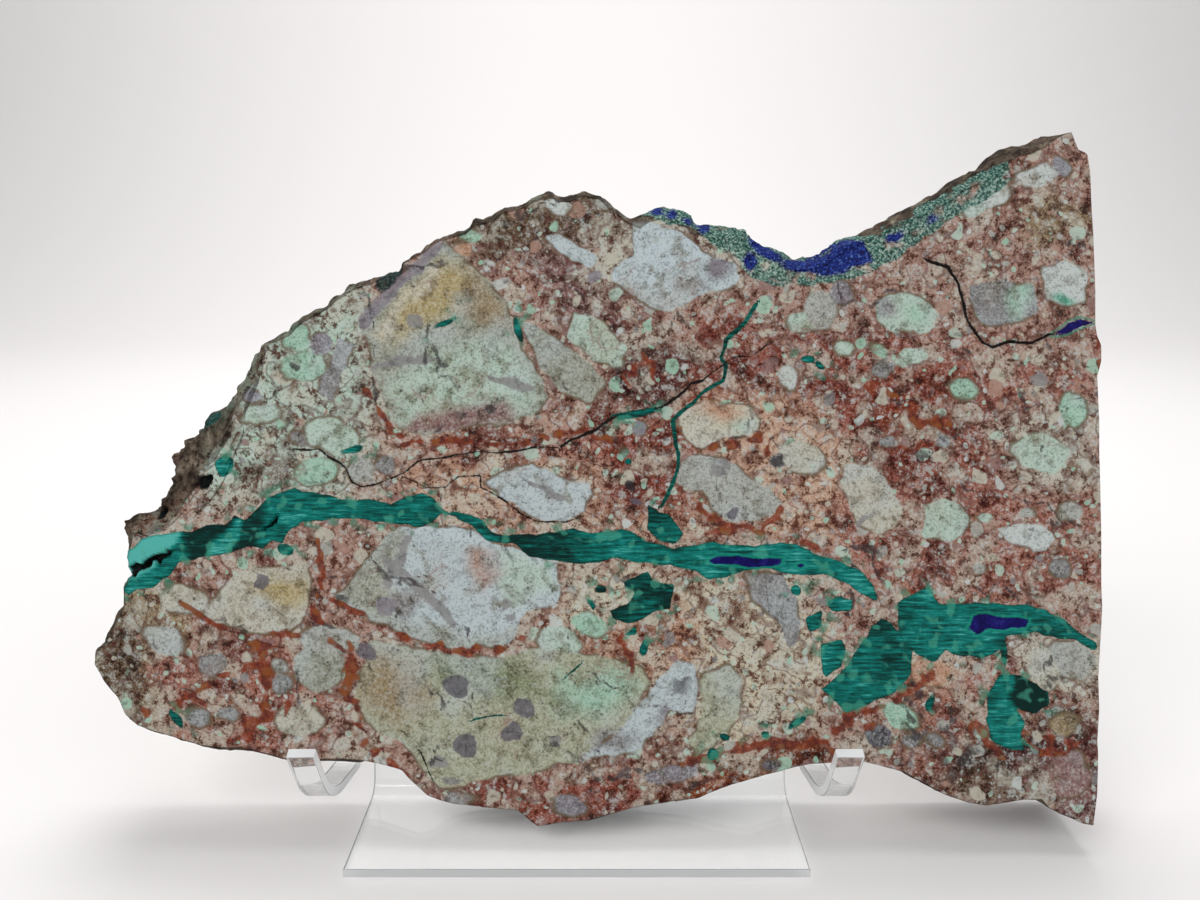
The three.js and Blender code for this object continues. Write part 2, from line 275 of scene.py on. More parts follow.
def rim_dents(stations, depth):
    """How far the rim's stations are pushed back or forward at a ring, in mm: broken faces and pits."""
    at = solid_places(stations[:, :2], np.full(len(stations), depth))
    share = eased(depth, 0.2, 3.0) * (1.0 - eased(depth, 12.0, 22.0))
    dents = 0.9 * lumps(at, 4.6, 6) + 0.6 * lumps(at, 2.1, 7) + 1.4 * rim_pits(at)
    return depth + np.clip(stations[:, 4] - 0.4, 0.0, 2.0) * share * dents


def filled(sides):
    """Grid inside four sides: the blend of opposite sides both ways, less the blend of the four corners."""
    right, bottom, left, top = sides
    bottom = bottom[::-1]
    left = left[::-1]
    s = np.linspace(0.0, 1.0, len(top))[None, :, None]
    t = np.linspace(0.0, 1.0, len(right))[:, None, None]
    across = (1.0 - t) * top[None] + t * bottom[None]
    down = (1.0 - s) * left[:, None] + s * right[:, None]
    corners = (
        (1.0 - t) * ((1.0 - s) * top[0] + s * top[-1])
        + t * ((1.0 - s) * bottom[0] + s * bottom[-1]))
    return across + down - corners


def loop_order(columns, rows):
    """Indices of a grid's edge, clockwise from its upper right corner."""
    grid = np.arange((columns + 1) * (rows + 1)).reshape(rows + 1, columns + 1)
    return np.concatenate([grid[:rows, columns], grid[rows, :0:-1], grid[:0:-1, 0], grid[0, :columns]])


def grid_faces(columns, rows, start, outward):
    """Squares of a grid, wound to face the viewer of the front, or away from them."""
    grid = start + np.arange((columns + 1) * (rows + 1)).reshape(rows + 1, columns + 1)
    a, b = grid[:-1, :-1].ravel(), grid[1:, :-1].ravel()
    c, d = grid[1:, 1:].ravel(), grid[:-1, 1:].ravel()
    return np.column_stack([a, b, c, d] if outward else [a, d, c, b])


def shaped_slab():
    """The slab's grid: places in points, depths in mm, roughness of the rim, and its faces.

    The face is the grid inside the inset outline. The rim is a stack of rings of the outline at growing
    depth. The last ring steps to half as many points, which bound the coarser grid of the back.
    """
    counts = [FACE_ROWS, FACE_COLUMNS, FACE_ROWS, FACE_COLUMNS]
    sides = [even_stations(rows, count) for rows, count in zip(outline_sides(), counts)]
    stations = facing_inwards(np.concatenate([side[:-1] for side in sides]))
    around = np.concatenate([stations, stations[:1]])
    ends = np.cumsum([0] + counts)
    sides = [around[start:end + 1] for start, end in zip(ends, ends[1:])]
    face = filled([rim_ring(side, 0.0) for side in sides])
    rings = [rim_ring(stations, depth) for depth in RING_DEPTHS[1:]]
    back = filled([rim_ring(side, SLAB_THICKNESS)[::2] for side in sides])
    half_columns, half_rows = FACE_COLUMNS // 2, FACE_ROWS // 2
    count = len(stations)
    front_count = face.shape[0] * face.shape[1]
    places = np.concatenate([face.reshape(-1, 2), *rings, back.reshape(-1, 2)])
    depths = np.concatenate([
        np.zeros(front_count),
        *[rim_dents(stations, depth) for depth in RING_DEPTHS[1:]],
        np.full(back.shape[0] * back.shape[1], SLAB_THICKNESS)])
    natural = np.clip(stations[:, 4] / WHOLLY_ROUGH, 0.0, 1.0)
    natural = np.maximum(natural, SEAT_SHARE * (stations[:, 3] > SEAT_FLARE))
    rough = np.concatenate([
        np.zeros(front_count),
        np.tile(natural, len(rings)),
        np.zeros(back.shape[0] * back.shape[1])])
    edge = loop_order(FACE_COLUMNS, FACE_ROWS)
    loops = [edge] + [front_count + level * count + np.arange(count) for level in range(len(rings))]
    quads = [grid_faces(FACE_COLUMNS, FACE_ROWS, 0, True)]
    for near, far in zip(loops[:-1], loops[1:]):
        quads.append(np.column_stack([near, np.roll(near, -1), np.roll(far, -1), far]))
    start = front_count + len(rings) * count
    quads.append(grid_faces(half_columns, half_rows, start, False))
    last = loops[-1]
    coarse = start + loop_order(half_columns, half_rows)
    first, middle, third = last[0::2], last[1::2], np.roll(last[0::2], -1)
    after = np.roll(coarse, -1)
    triangles = np.concatenate([
        np.column_stack([first, middle, coarse]),
        np.column_stack([middle, after, coarse]),
        np.column_stack([middle, third, after])])
    return places, depths, rough, np.concatenate(quads), triangles


# Shapes on the face, in points

def from_corners(spots, corners):
    """Distance to a many-cornered outline in points, negative inside."""
    corners = np.array(corners, dtype=float)
    nearest = np.full(len(spots), 1e9)
    inside = np.zeros(len(spots), dtype=bool)
    for a, b in zip(corners, np.roll(corners, -1, axis=0)):
        run = b - a
        share = np.clip(((spots - a) @ run) / (run @ run), 0.0, 1.0)
        gap = spots - a - share[:, None] * run
        nearest = np.minimum(nearest, np.hypot(gap[:, 0], gap[:, 1]))
        spans = (a[1] > spots[:, 1]) != (b[1] > spots[:, 1])
        height = run[1] if run[1] != 0 else 1e-9
        crossing = a[0] + (spots[:, 1] - a[1]) * run[0] / height
        inside ^= spans & (spots[:, 0] < crossing)
    return np.where(inside, -nearest, nearest)


def from_oval(spots, x, y, half_width, half_height, turn):
    """Rough distance to an oval in points, negative inside. Its turn is in degrees, clockwise."""
    angle = math.radians(turn)
    gap = spots - np.array([x, y])
    along = (gap[:, 0] * math.cos(angle) + gap[:, 1] * math.sin(angle)) / half_width
    aside = (gap[:, 1] * math.cos(angle) - gap[:, 0] * math.sin(angle)) / half_height
    return (np.hypot(along, aside) - 1.0) * min(half_width, half_height)


def from_shape(spots, shape, reach):
    """Distance to a shape, given as corners or as an oval, worked out only within reach of it."""
    distance = np.full(len(spots), reach, dtype=float)
    if isinstance(shape, list):
        low = np.min(shape, axis=0) - reach
        high = np.max(shape, axis=0) + reach
        measure = from_corners
        arguments = (shape,)
    else:
        size = max(shape[2], shape[3]) + reach
        low = np.array(shape[:2]) - size
        high = np.array(shape[:2]) + size
        measure = from_oval
        arguments = shape
    near = np.all((spots > low) & (spots < high), axis=1)
    distance[near] = np.minimum(measure(spots[near], *arguments), reach)
    return distance


def from_line(spots, points, reach):
    """Distance to a drawn line, and the offset to its left or right, in points."""
    nearest = np.full(len(spots), float(reach))
    offset = np.full(len(spots), float(reach))
    line = np.array(points, dtype=float)
    low = line.min(axis=0) - reach
    high = line.max(axis=0) + reach
    near = np.flatnonzero(np.all((spots > low) & (spots < high), axis=1))
    close = spots[near]
    best = np.full(len(near), float(reach))
    side = np.full(len(near), float(reach))
    for a, b in zip(line[:-1], line[1:]):
        run = b - a
        length = math.hypot(run[0], run[1])
        share = np.clip(((close - a) @ run) / (run @ run), 0.0, 1.0)
        gap = close - a - share[:, None] * run
        distance = np.hypot(gap[:, 0], gap[:, 1])
        across = ((close[:, 1] - a[1]) * run[0] - (close[:, 0] - a[0]) * run[1]) / length
        closer = distance < best
        best[closer] = distance[closer]
        side[closer] = np.copysign(distance[closer], across[closer])
    nearest[near] = best
    offset[near] = side
    return nearest, offset


def soft_cover(spots, shape, softness):
    """Share from 0 to 1 to which a soft-edged shape covers each spot."""
    return eased(-from_shape(spots, shape, 3.0 * softness), -softness, softness)


def painted(spots, base, zones):
    """Colours laid over a base tone in order, each inside its shape, with soft edges."""
    colours = np.tile(linear(base), (len(spots), 1))
    for tone, softness, shape in zones:
        cover = soft_cover(spots, shape, softness)
        colours += cover[:, None] * (linear(tone) - colours)
    return colours


def nearest_of(spots, pieces, reach):
    """Distance to the nearest of several toned shapes, and that shape's tone."""
    distance = np.full(len(spots), float(reach))
    colours = np.tile(linear("pale_grey"), (len(spots), 1))
    for tone, shape in pieces:
        own = from_shape(spots, shape, reach)
        closer = own < distance
        distance[closer] = own[closer]
        colours[closer] = linear(tone)
    return distance, colours


def joined(spots, shapes, reach):
    """Distance to the nearest of several shapes, negative inside."""
    distance = np.full(len(spots), float(reach))
    for shape in shapes:
        distance = np.minimum(distance, from_shape(spots, shape, reach))
    return distance


# Groundmass: soft zones of tone, laid in order
GROUND_ZONES = [
    ("tan", 26, [(80, 560), (180, 560), (240, 640), (230, 760), (90, 760)]),
    ("rosy", 24, [(150, 540), (350, 520), (360, 760), (220, 760), (200, 660)]),
    ("pink", 20, [(150, 650), (300, 640), (340, 700), (300, 760), (150, 745)]),
    ("pale_mint", 24, [(210, 330), (360, 270), (380, 430), (340, 500), (200, 500)]),
    ("umber", 22, [(440, 190), (640, 180), (640, 236), (560, 250), (480, 260)]),
    ("mauve", 20, [(530, 250), (600, 240), (640, 300), (620, 350), (560, 330)]),
    ("peach", 22, [(380, 430), (560, 420), (690, 430), (700, 540), (560, 540), (420, 510)]),
    ("brick", 20, [(590, 420), (690, 400), (700, 470), (680, 520), (600, 520)]),
    ("pink", 14, [(380, 436), (480, 430), (600, 420), (600, 460), (480, 456), (390, 470)]),
    ("bone", 20, [(600, 215), (700, 220), (800, 290), (760, 320), (680, 310), (600, 300)]),
    ("rosy", 20, [(620, 290), (800, 280), (860, 270), (880, 340), (760, 400), (640, 420)]),
    ("maroon", 14, [(606, 350), (650, 345), (720, 345), (735, 372), (690, 388), (660, 405), (622, 402),
                    (612, 375)]),
    ("pink", 26, [(780, 330), (1000, 340), (1100, 350), (1104, 610), (900, 600), (800, 540)]),
    ("brick", 26, [(800, 340), (930, 350), (1000, 400), (960, 480), (880, 480), (800, 430)]),
    ("maroon", 16, [(870, 390), (930, 385), (960, 410), (950, 450), (900, 462), (866, 430)]),
    ("rust", 14, [(876, 392), (950, 380), (966, 404), (940, 440), (905, 452), (870, 425)]),
    ("brick", 16, [(690, 300), (770, 330), (800, 360), (760, 400), (700, 400)]),
    ("bone", 22, [(1000, 420), (1100, 410), (1100, 480), (1020, 490)]),
    ("peach", 20, [(690, 395), (790, 395), (850, 440), (840, 530), (770, 540), (690, 440)]),
    ("rosy", 18, [(940, 195), (1010, 220), (1090, 240), (1096, 330), (970, 330), (930, 260)]),
    ("tan", 12, [(1019, 222), (1025, 202), (1047, 198), (1090, 206), (1094, 232), (1061, 236),
                 (1031, 240)]),
    ("cream", 22, [(570, 565), (790, 575), (830, 640), (820, 720), (700, 760), (640, 660), (560, 640)]),
    ("salmon", 18, [(560, 640), (680, 600), (700, 660), (640, 700)]),
    ("salmon", 14, [(900, 650), (950, 655), (960, 700), (905, 700)]),
    ("pink", 20, [(930, 690), (1100, 640), (1100, 830), (1000, 810), (900, 770)]),
    ("umber", 24, [(980, 720), (1100, 710), (1100, 830), (1000, 810), (930, 780)]),
    ("bone", 18, [(1010, 636), (1100, 640), (1100, 700), (1030, 690)]),
    ("maroon", 20, [(1000, 735), (1100, 715), (1100, 790), (1010, 795)]),
    ("mauve", 14, [(1046, 770), (1100, 760), (1096, 830), (1046, 810)]),
    ("brick", 14, [(420, 790), (520, 780), (650, 760), (720, 780), (700, 810), (540, 834), (440, 812)]),
    ("amber", 12, [(650, 795), (740, 762), (815, 735), (830, 760), (760, 790), (660, 812)]),
    ("umber", 14, [(80, 640), (120, 600), (150, 640), (130, 740), (80, 720)]),
]

# Clasts of the breccia, each a tone and a shape
CLASTS = [
    ("sage_grey", [
        (358, 326), (446, 238), (455, 250), (468, 262), (490, 284), (506, 300), (517, 339), (528, 358),
        (543, 380), (548, 396), (540, 415), (505, 425), (470, 427), (425, 437), (403, 429), (386, 412),
        (381, 392), (373, 368), (366, 346)]),
    ("white_blue", [
        (513, 466), (531, 463), (553, 472), (580, 483), (590, 482), (592, 496), (582, 514), (563, 522),
        (537, 520), (521, 512), (505, 498), (483, 483)]),
    ("ice", [
        (398, 527), (368, 556), (335, 596), (346, 607), (370, 618), (392, 626), (413, 640), (432, 645),
        (464, 649), (489, 647), (508, 643), (519, 633), (525, 612), (553, 606), (563, 596), (558, 567),
        (543, 559), (521, 549), (505, 545), (488, 540), (473, 530), (451, 526), (432, 524)]),
    ("sage", [
        (372, 640), (410, 648), (450, 656), (500, 656), (545, 646), (600, 656), (640, 664), (650, 682),
        (636, 706), (622, 728), (600, 744), (573, 763), (540, 770), (521, 775), (497, 775), (461, 788),
        (440, 791), (425, 772), (412, 750), (392, 738), (366, 722), (354, 700), (360, 672)]),
    ("white_blue", [
        (678, 661), (694, 667), (700, 683), (694, 713), (672, 712), (659, 729), (644, 744), (636, 752),
        (573, 763), (600, 744), (624, 729), (636, 707), (656, 683), (670, 670)]),
    ("sage", [
        (702, 674), (729, 662), (740, 677), (742, 704), (729, 736), (694, 758), (690, 738), (703, 712)]),
    ("grey", [(743, 572), (783, 575), (796, 602), (799, 635), (790, 648), (774, 621), (751, 599)]),
    ("pale_grey", [
        (681, 461), (700, 455), (726, 458), (743, 469), (767, 488), (780, 503), (772, 515), (754, 522),
        (735, 520), (713, 509), (700, 493), (676, 485), (678, 472)]),
    ("cream", [
        (675, 424), (692, 405), (713, 400), (751, 407), (762, 420), (756, 432), (727, 439), (700, 450),
        (686, 439)]),
    ("bone", [
        (845, 465), (868, 465), (886, 479), (901, 508), (898, 522), (884, 534), (859, 526), (849, 503),
        (843, 479)]),
    ("pale_mint", [(923, 505), (937, 499), (955, 501), (972, 516), (970, 526), (953, 542), (923, 539)]),
    ("white", [(997, 529), (1021, 522), (1047, 526), (1058, 538), (1047, 551), (1031, 550), (1004, 538)]),
    ("bone", [
        (217, 592), (239, 570), (310, 562), (311, 597), (303, 621), (287, 633), (247, 632), (217, 625),
        (203, 616)]),
    ("ice", [
        (632, 218), (649, 221), (681, 233), (703, 250), (735, 263), (740, 276), (734, 285), (700, 296),
        (672, 311), (649, 307), (613, 282), (614, 269), (633, 256)]),
    ("white_blue", [(547, 237), (560, 234), (573, 242), (598, 255), (592, 269), (576, 263), (560, 253)]),
    ("pale_mint", [(575, 312), (600, 318), (628, 345), (622, 368), (596, 362), (566, 338)]),
    ("sage_grey", [(520, 320), (548, 330), (590, 366), (606, 384), (590, 404), (560, 392), (540, 366)]),
    ("pale_mint", [(874, 300), (900, 290), (930, 300), (938, 318), (920, 334), (892, 332), (876, 320)]),
    ("grey", [(968, 286), (1000, 279), (1034, 284), (1039, 312), (1012, 326), (978, 322)]),
    ("white", [(1041, 268), (1066, 262), (1086, 276), (1086, 300), (1064, 308), (1044, 298)]),
    ("white", (788, 378, 9, 13, -20)),
    ("mint", (963, 389, 16, 11, 10)),
    ("mint", (1074, 410, 14, 18, 0)),
    ("pale_mint", (1040, 452, 30, 18, 10)),
    ("pale_grey", (1070, 512, 13, 11, 0)),
    ("grey", (1059, 569, 11, 10, 0)),
    ("pale_mint", (986, 518, 7, 5, 0)),
    ("pale_grey", (1027, 512, 8, 5, 0)),
    ("pale_grey", (980, 569, 8, 6, 0)),
    ("pale_mint", (910, 356, 16, 9, -20)),
    ("pale_grey", (820, 312, 18, 20, 20)),
    ("pale_mint", (800, 322, 14, 10, 0)),
    ("grey", (882, 368, 11, 9, 0)),
    ("pale_mint", (844, 348, 10, 8, 0)),
    ("bone", (803, 458, 26, 15, 25)),
    ("pale_mint", (812, 466, 12, 8, 25)),
    ("white", (994, 196, 20, 12, -20)),
    ("white", (1036, 176, 22, 11, -10)),
    ("pale_mint", (976, 206, 16, 8, -30)),
    ("lilac", (1063, 168, 8, 11, -20)),
    ("mint", (304, 366, 24, 15, -15)),
    ("mint", (296, 338, 16, 14, 30)),
    ("pale_mint", (262, 414, 20, 10, -10)),
    ("grey", [(339, 339), (352, 342), (346, 366), (333, 398), (319, 395), (320, 375), (333, 356)]),
    ("lilac", (323, 345, 11, 10, 0)),
    ("lilac", (253, 395, 11, 8, 20)),
    ("pale_mint", (332, 436, 28, 16, 15)),
    ("mint", (316, 472, 24, 14, -10)),
    ("grey", (300, 437, 11, 8, 20)),
    ("pale_grey", (360, 470, 14, 14, 0)),
    ("grey", (385, 466, 11, 9, 0)),
    ("mint", (469, 234, 12, 8, 20)),
    ("salmon", (464, 248, 10, 7, 35)),
    ("white", (560, 206, 14, 9, 20)),
    ("pale_grey", (604, 200, 12, 9, 0)),
    ("grey", (198, 718, 15, 10, 20)),
    ("grey", (228, 715, 10, 8, 0)),
    ("grey", (212, 664, 14, 12, 20)),
    ("sage_grey", (320, 668, 26, 24, 20)),
    ("bone", (300, 720, 26, 16, 0)),
    ("grey", (282, 683, 12, 10, 0)),
    ("pale_grey", (279, 667, 10, 8, 0)),
    ("pale_grey", (330, 640, 30, 14, 10)),
    ("mint", (902, 715, 20, 12, 25)),
    ("slate", (878, 736, 15, 12, 20)),
    ("grey", (912, 740, 11, 8, 10)),
    ("grey", (935, 741, 11, 7, 10)),
    ("pale_grey", (1070, 660, 26, 18, 20)),
    ("bone", (1045, 668, 18, 22, 0)),
    ("salmon", (930, 672, 20, 15, 10)),
    ("tan", (1065, 723, 16, 12, 0)),
    ("mauve", (1070, 775, 22, 24, 0)),
    ("grey", (777, 460, 7, 7, 20)),
    ("lilac", (843, 293, 12, 12, 0)),
    ("lilac", (639, 429, 8, 8, 10)),
    ("grey", (943, 440, 8, 8, 0)),
    ("grey", (886, 443, 9, 6, 0)),
    ("mint", (878, 350, 11, 7, 20)),
    ("salmon", (720, 560, 8, 6, 0)),
    ("lilac", (570, 806, 18, 11, 10)),
    ("lilac", (672, 774, 28, 10, -12)),
    ("slate", (771, 766, 10, 7, 0)),
    ("pale_mint", (560, 640, 22, 14, 10)),
    ("mint", (590, 624, 20, 12, 20)),
    ("grey", (460, 800, 18, 7, 0)),
    ("bone", (185, 600, 26, 16, 10)),
    ("pale_grey", (164, 640, 24, 14, 20)),
]
# Tints inside the clasts: tone, softness and shape
CLAST_TINTS = [
    ("straw", 14, [(384, 320), (440, 262), (462, 262), (480, 284), (470, 310), (420, 330), (392, 340)]),
    ("tan", 10, [(470, 270), (498, 292), (508, 322), (478, 330), (462, 300)]),
    ("pale_mint", 16, [(384, 390), (440, 350), (500, 340), (536, 380), (528, 410), (440, 424), (396, 420)]),
    ("cream", 6, [(372, 330), (446, 252), (452, 258), (382, 336)]),
    ("mauve", 8, [(400, 424), (440, 404), (500, 400), (512, 420), (440, 432), (408, 434)]),
    ("white_blue", 14, [(380, 570), (430, 535), (470, 540), (520, 560), (545, 580), (500, 620),
                        (430, 620)]),
    ("pale_mint", 12, [(500, 550), (545, 566), (555, 592), (520, 604), (490, 580)]),
    ("tan", 16, [(370, 650), (420, 660), (430, 700), (400, 730), (362, 700)]),
    ("mint", 18, [(560, 670), (620, 672), (640, 690), (600, 720), (560, 710)]),
    ("moss", 18, [(430, 640), (520, 660), (560, 700), (500, 700), (440, 680)]),
    ("grey", 6, (614, 742, 20, 10, -10)),
    ("lilac", 5, (664, 720, 7, 11, 20)),
    ("pale_mint", 7, (743, 426, 9, 7, 20)),
    ("salmon", 8, (720, 412, 22, 10, 10)),
    ("mint", 8, (916, 310, 12, 10, 0)),
    ("grey", 6, (884, 306, 9, 12, 0)),
    ("mint", 8, (1018, 302, 12, 18, 10)),
    ("teal", 4, (1063, 299, 10, 5, 10)),
    ("lilac", 6, (716, 266, 12, 12, 0)),
    ("grey", 6, [(674, 286), (700, 276), (712, 290), (690, 296)]),
    ("straw", 8, (280, 590, 26, 14, 0)),
    ("sage_grey", 11, [
        (330, 596), (368, 552), (400, 522), (408, 540), (384, 576), (388, 606), (430, 630), (500, 634),
        (524, 624), (500, 650), (430, 650), (370, 624)]),
    ("grey", 6, (405, 600, 16, 13, 20)),
    ("rosy", 9, [(470, 545), (490, 548), (500, 575), (480, 590), (466, 570)]),
]
# Smaller pebbles and streaks that lie inside the clasts
PEBBLES = [
    ("lilac", [(357, 320), (437, 238), (446, 244), (366, 328), (358, 328)]),
    ("slate", (457, 686, 13, 12, 0)),
    ("slate", (467, 744, 13, 12, 10)),
    ("slate", (513, 733, 10, 9, 0)),
    ("slate", (526, 709, 9, 10, 0)),
    ("grey", (440, 762, 8, 7, 0)),
    ("grey", (453, 781, 8, 5, 0)),
    ("slate", (367, 651, 11, 8, 20)),
    ("grey", (556, 739, 5, 4, 0)),
    ("lilac", (386, 607, 10, 9, 0)),
    ("grey", (505, 605, 5, 5, 0)),
    ("grey", (511, 618, 7, 4, 20)),
    ("slate", (260, 583, 8, 8, 0)),
    ("grey", (726, 464, 6, 5, 30)),
    ("grey", (719, 472, 6, 5, 30)),
    ("slate", (735, 511, 5, 6, 0)),
    ("soot", (630, 487, 7, 6, 60)),
    ("slate", (636, 502, 7, 3, 20)),
    ("soot", (777, 460, 6, 6, 20)),
    ("soot", (490, 411, 5, 4, 0)),
    ("grey", (411, 322, 8, 7, 20)),
    ("soot", (295, 368, 4, 4, 0)),
    ("lilac", (596, 278, 7, 6, 0)),
    ("lilac", (639, 429, 7, 7, 10)),
    ("grey", [(375, 548), (392, 558), (430, 590), (461, 625), (455, 628), (420, 596), (385, 566)]),
    ("grey", [(410, 532), (415, 536), (390, 590), (380, 586), (392, 560)]),
    ("grey", [(372, 362), (420, 356), (452, 360), (420, 364), (376, 368)]),
    ("grey", [(484, 377), (520, 380), (542, 388), (520, 391), (490, 384)]),
    ("grey", [(520, 474), (552, 486), (566, 496), (560, 499), (536, 489)]),
    ("grey", (868, 518, 14, 3, -38)),
    ("slate", (209, 420, 3, 3, 0)),
    ("slate", (1010, 540, 3, 2, 0)),
    ("slate", (1030, 530, 3, 2, 0)),
    ("lilac", (716, 266, 9, 9, 0)),
]

# Malachite: the main vein, the second vein and the blocks
MALACHITE = [
    [(114, 560), (128, 549), (147, 538), (169, 532), (192, 531), (215, 524), (225, 525), (233, 514),
     (247, 519), (268, 498), (294, 488), (303, 493), (330, 495), (340, 499), (368, 501), (391, 504),
     (406, 498), (422, 493), (432, 496), (442, 507), (448, 512), (467, 514), (485, 523), (497, 533),
     (537, 536), (561, 530), (573, 530), (592, 533), (621, 530), (633, 534), (649, 543), (675, 549),
     (697, 545), (713, 542), (735, 544), (758, 546), (782, 543), (798, 546), (827, 558), (843, 562),
     (861, 572), (872, 583), (877, 595), (877, 603), (861, 594), (847, 583), (823, 574), (791, 574),
     (778, 571), (761, 569), (743, 571), (727, 576), (711, 580), (700, 573), (688, 569), (668, 564),
     (629, 561), (608, 559), (581, 563), (566, 563), (545, 559), (529, 556), (515, 543), (489, 541),
     (478, 533), (469, 523), (454, 517), (443, 514), (432, 523), (419, 526), (381, 522), (359, 517),
     (330, 520), (303, 522), (289, 530), (284, 541), (271, 541), (263, 549), (247, 546), (233, 552),
     (220, 555), (201, 557), (179, 562), (169, 578), (152, 587), (136, 591), (128, 597), (123, 592),
     (119, 576)],
    [(898, 603), (929, 587), (939, 603), (964, 604), (974, 602), (994, 604), (1021, 605), (1045, 611),
     (1064, 621), (1080, 634), (1100, 646), (1094, 652), (1076, 640), (1055, 638), (1035, 634),
     (1006, 636), (1002, 648), (994, 654), (986, 659), (965, 657), (945, 650), (937, 660), (933, 662),
     (916, 654), (904, 642), (896, 623)],
    [(822, 689), (839, 674), (856, 650), (873, 624), (882, 619), (900, 632), (912, 652), (910, 677),
     (896, 691), (871, 703), (846, 714), (836, 704)],
    [(819, 644), (841, 640), (845, 650), (841, 666), (825, 677), (821, 660)],
    [(804, 617), (821, 611), (823, 628), (808, 632)],
    [(825, 601), (839, 596), (852, 601), (851, 611), (831, 611)],
    [(988, 693), (1002, 674), (1021, 674), (1049, 691), (1049, 705), (1031, 713), (1016, 708), (1027, 723),
     (1021, 734), (1027, 750), (1002, 748), (992, 742), (986, 717)],
    [(624, 581), (649, 572), (654, 580), (676, 583), (670, 596), (670, 607), (656, 612), (640, 621),
     (627, 625), (614, 620), (609, 610), (627, 605), (636, 592), (625, 588)],
    [(649, 505), (662, 515), (672, 516), (684, 534), (676, 544), (660, 543), (648, 530)],
    [(613, 417), (634, 411), (657, 406), (655, 412), (636, 418), (618, 422)],
    [(624, 637), (636, 626), (638, 635)],
    [(586, 597), (597, 602), (593, 610)],
    (644, 648, 4, 8, 20),
    (796, 590, 6, 6, 0),
    (224, 465, 9, 10, 20),
    (931, 703, 4, 10, 20),
    (808, 361, 7, 4, 10),
    (820, 367, 6, 4, 30),
    (725, 736, 6, 4, 20),
    (713, 754, 6, 7, 20),
    (765, 735, 5, 4, 0),
    (797, 722, 12, 4, -30),
    (210, 419, 14, 5, -35),
    (352, 450, 12, 4, -10),
    (176, 718, 4, 12, -30),
    (286, 548, 8, 6, 20),
    (600, 590, 5, 4, 0),
    (960, 612, 26, 8, 0),
    (1005, 654, 3, 14, 0),
    (445, 322, 14, 3, -22),
    (518, 330, 4, 16, -10),
    (628, 462, 4, 4, 0),
]
# Stretches of malachite that are paler (above 0) or darker, each with its softness and shape
MALACHITE_TONES = [
    (0.15, 20, [(620, 520), (890, 530), (890, 610), (620, 590)]),
    (1.3, 6, [(110, 556), (150, 530), (178, 530), (176, 544), (150, 562), (130, 580), (112, 580)]),
    (0.1, 5, [(118, 604), (136, 580), (160, 566), (186, 556), (180, 566), (166, 584), (130, 604)]),
    (-0.8, 7, [(182, 526), (246, 508), (264, 496), (256, 552), (200, 562), (184, 560)]),
    (0.25, 3, [(216, 532), (240, 516), (232, 550), (202, 558)]),
    (-0.6, 10, [(486, 524), (560, 532), (570, 566), (520, 560)]),
    (-0.1, 10, [(820, 690), (880, 616), (914, 650), (900, 700), (840, 716)]),
    (-1.3, 5, [(1016, 672), (1052, 688), (1050, 708), (1030, 716), (1008, 702)]),
    (-0.5, 8, [(600, 570), (680, 574), (676, 620), (600, 630)]),
    (-0.2, 8, [(640, 500), (690, 510), (690, 546), (640, 546)]),
]
AZURITE = [
    [(708, 560), (715, 557), (735, 556), (751, 559), (783, 559), (778, 565), (759, 568), (748, 567),
     (735, 564), (713, 563)],
    [(968, 630), (974, 617), (986, 613), (1006, 617), (1029, 620), (1025, 628), (1004, 629), (990, 628),
     (978, 634)],
    [(1049, 334), (1061, 328), (1080, 318), (1094, 322), (1076, 328), (1063, 334), (1053, 336)],
    (800, 565, 3, 2, 0),
]
# Crust on the upper right edge: its band, and the blue patches in it
CRUST_BAND = [
    (636, 190), (640, 214), (660, 222), (690, 228), (712, 242), (735, 258), (748, 274), (770, 286),
    (800, 288), (835, 284), (870, 273), (890, 263), (905, 251), (930, 236), (965, 213), (1000, 192),
    (1014, 180), (1006, 158), (985, 170), (960, 186), (935, 203), (905, 222), (880, 232), (850, 234),
    (815, 240), (760, 212), (680, 180)]
CRUST_BLUE = [
    (657, 209, 10, 6, 10), (674, 213, 6, 6, 0), (707, 225, 9, 9, 30), (769, 249, 18, 9, 30),
    (750, 260, 6, 10, 0), (799, 264, 16, 9, 0), (896, 236, 10, 6, -25), (933, 221, 6, 4, -25),
    (690, 222, 5, 4, 0),
    [(790, 261), (810, 259), (831, 253), (843, 242), (861, 238), (872, 251), (872, 261), (847, 271),
     (821, 278), (806, 271), (790, 269)]]
# Dark druse in a cleft of the upper left edge
DRUSE = [
    [(383, 268), (394, 260), (396, 250), (412, 242), (420, 244), (406, 262), (394, 284), (384, 294),
     (376, 286)],
    (206, 420, 13, 5, -38)]
# Cracks and seams, each a line in points with its half width
OPEN_CRACKS = [
    (1.5, [(560, 448), (568, 442), (592, 432), (613, 418), (634, 412), (662, 407), (670, 402),
           (686, 389), (691, 383), (702, 381)]),
    (0.8, [(560, 448), (537, 447), (497, 453), (477, 452), (445, 458), (422, 460), (416, 463),
           (405, 472), (386, 480), (375, 485), (362, 487), (351, 482), (347, 471), (340, 463),
           (330, 457), (319, 449), (310, 450), (295, 449)]),
    (0.7, [(405, 477), (426, 488), (445, 487), (457, 477), (480, 475), (481, 487), (502, 498), (521, 515),
           (537, 522), (566, 522), (580, 518)]),
    (0.5, [(702, 381), (732, 357), (751, 356), (767, 345)]),
    (0.6, [(418, 748), (426, 764), (434, 783)]),
    (1.6, [(927, 259), (949, 267), (959, 283), (965, 304), (970, 324), (984, 342), (994, 346), (1010, 342),
           (1033, 343), (1049, 334)]),
]
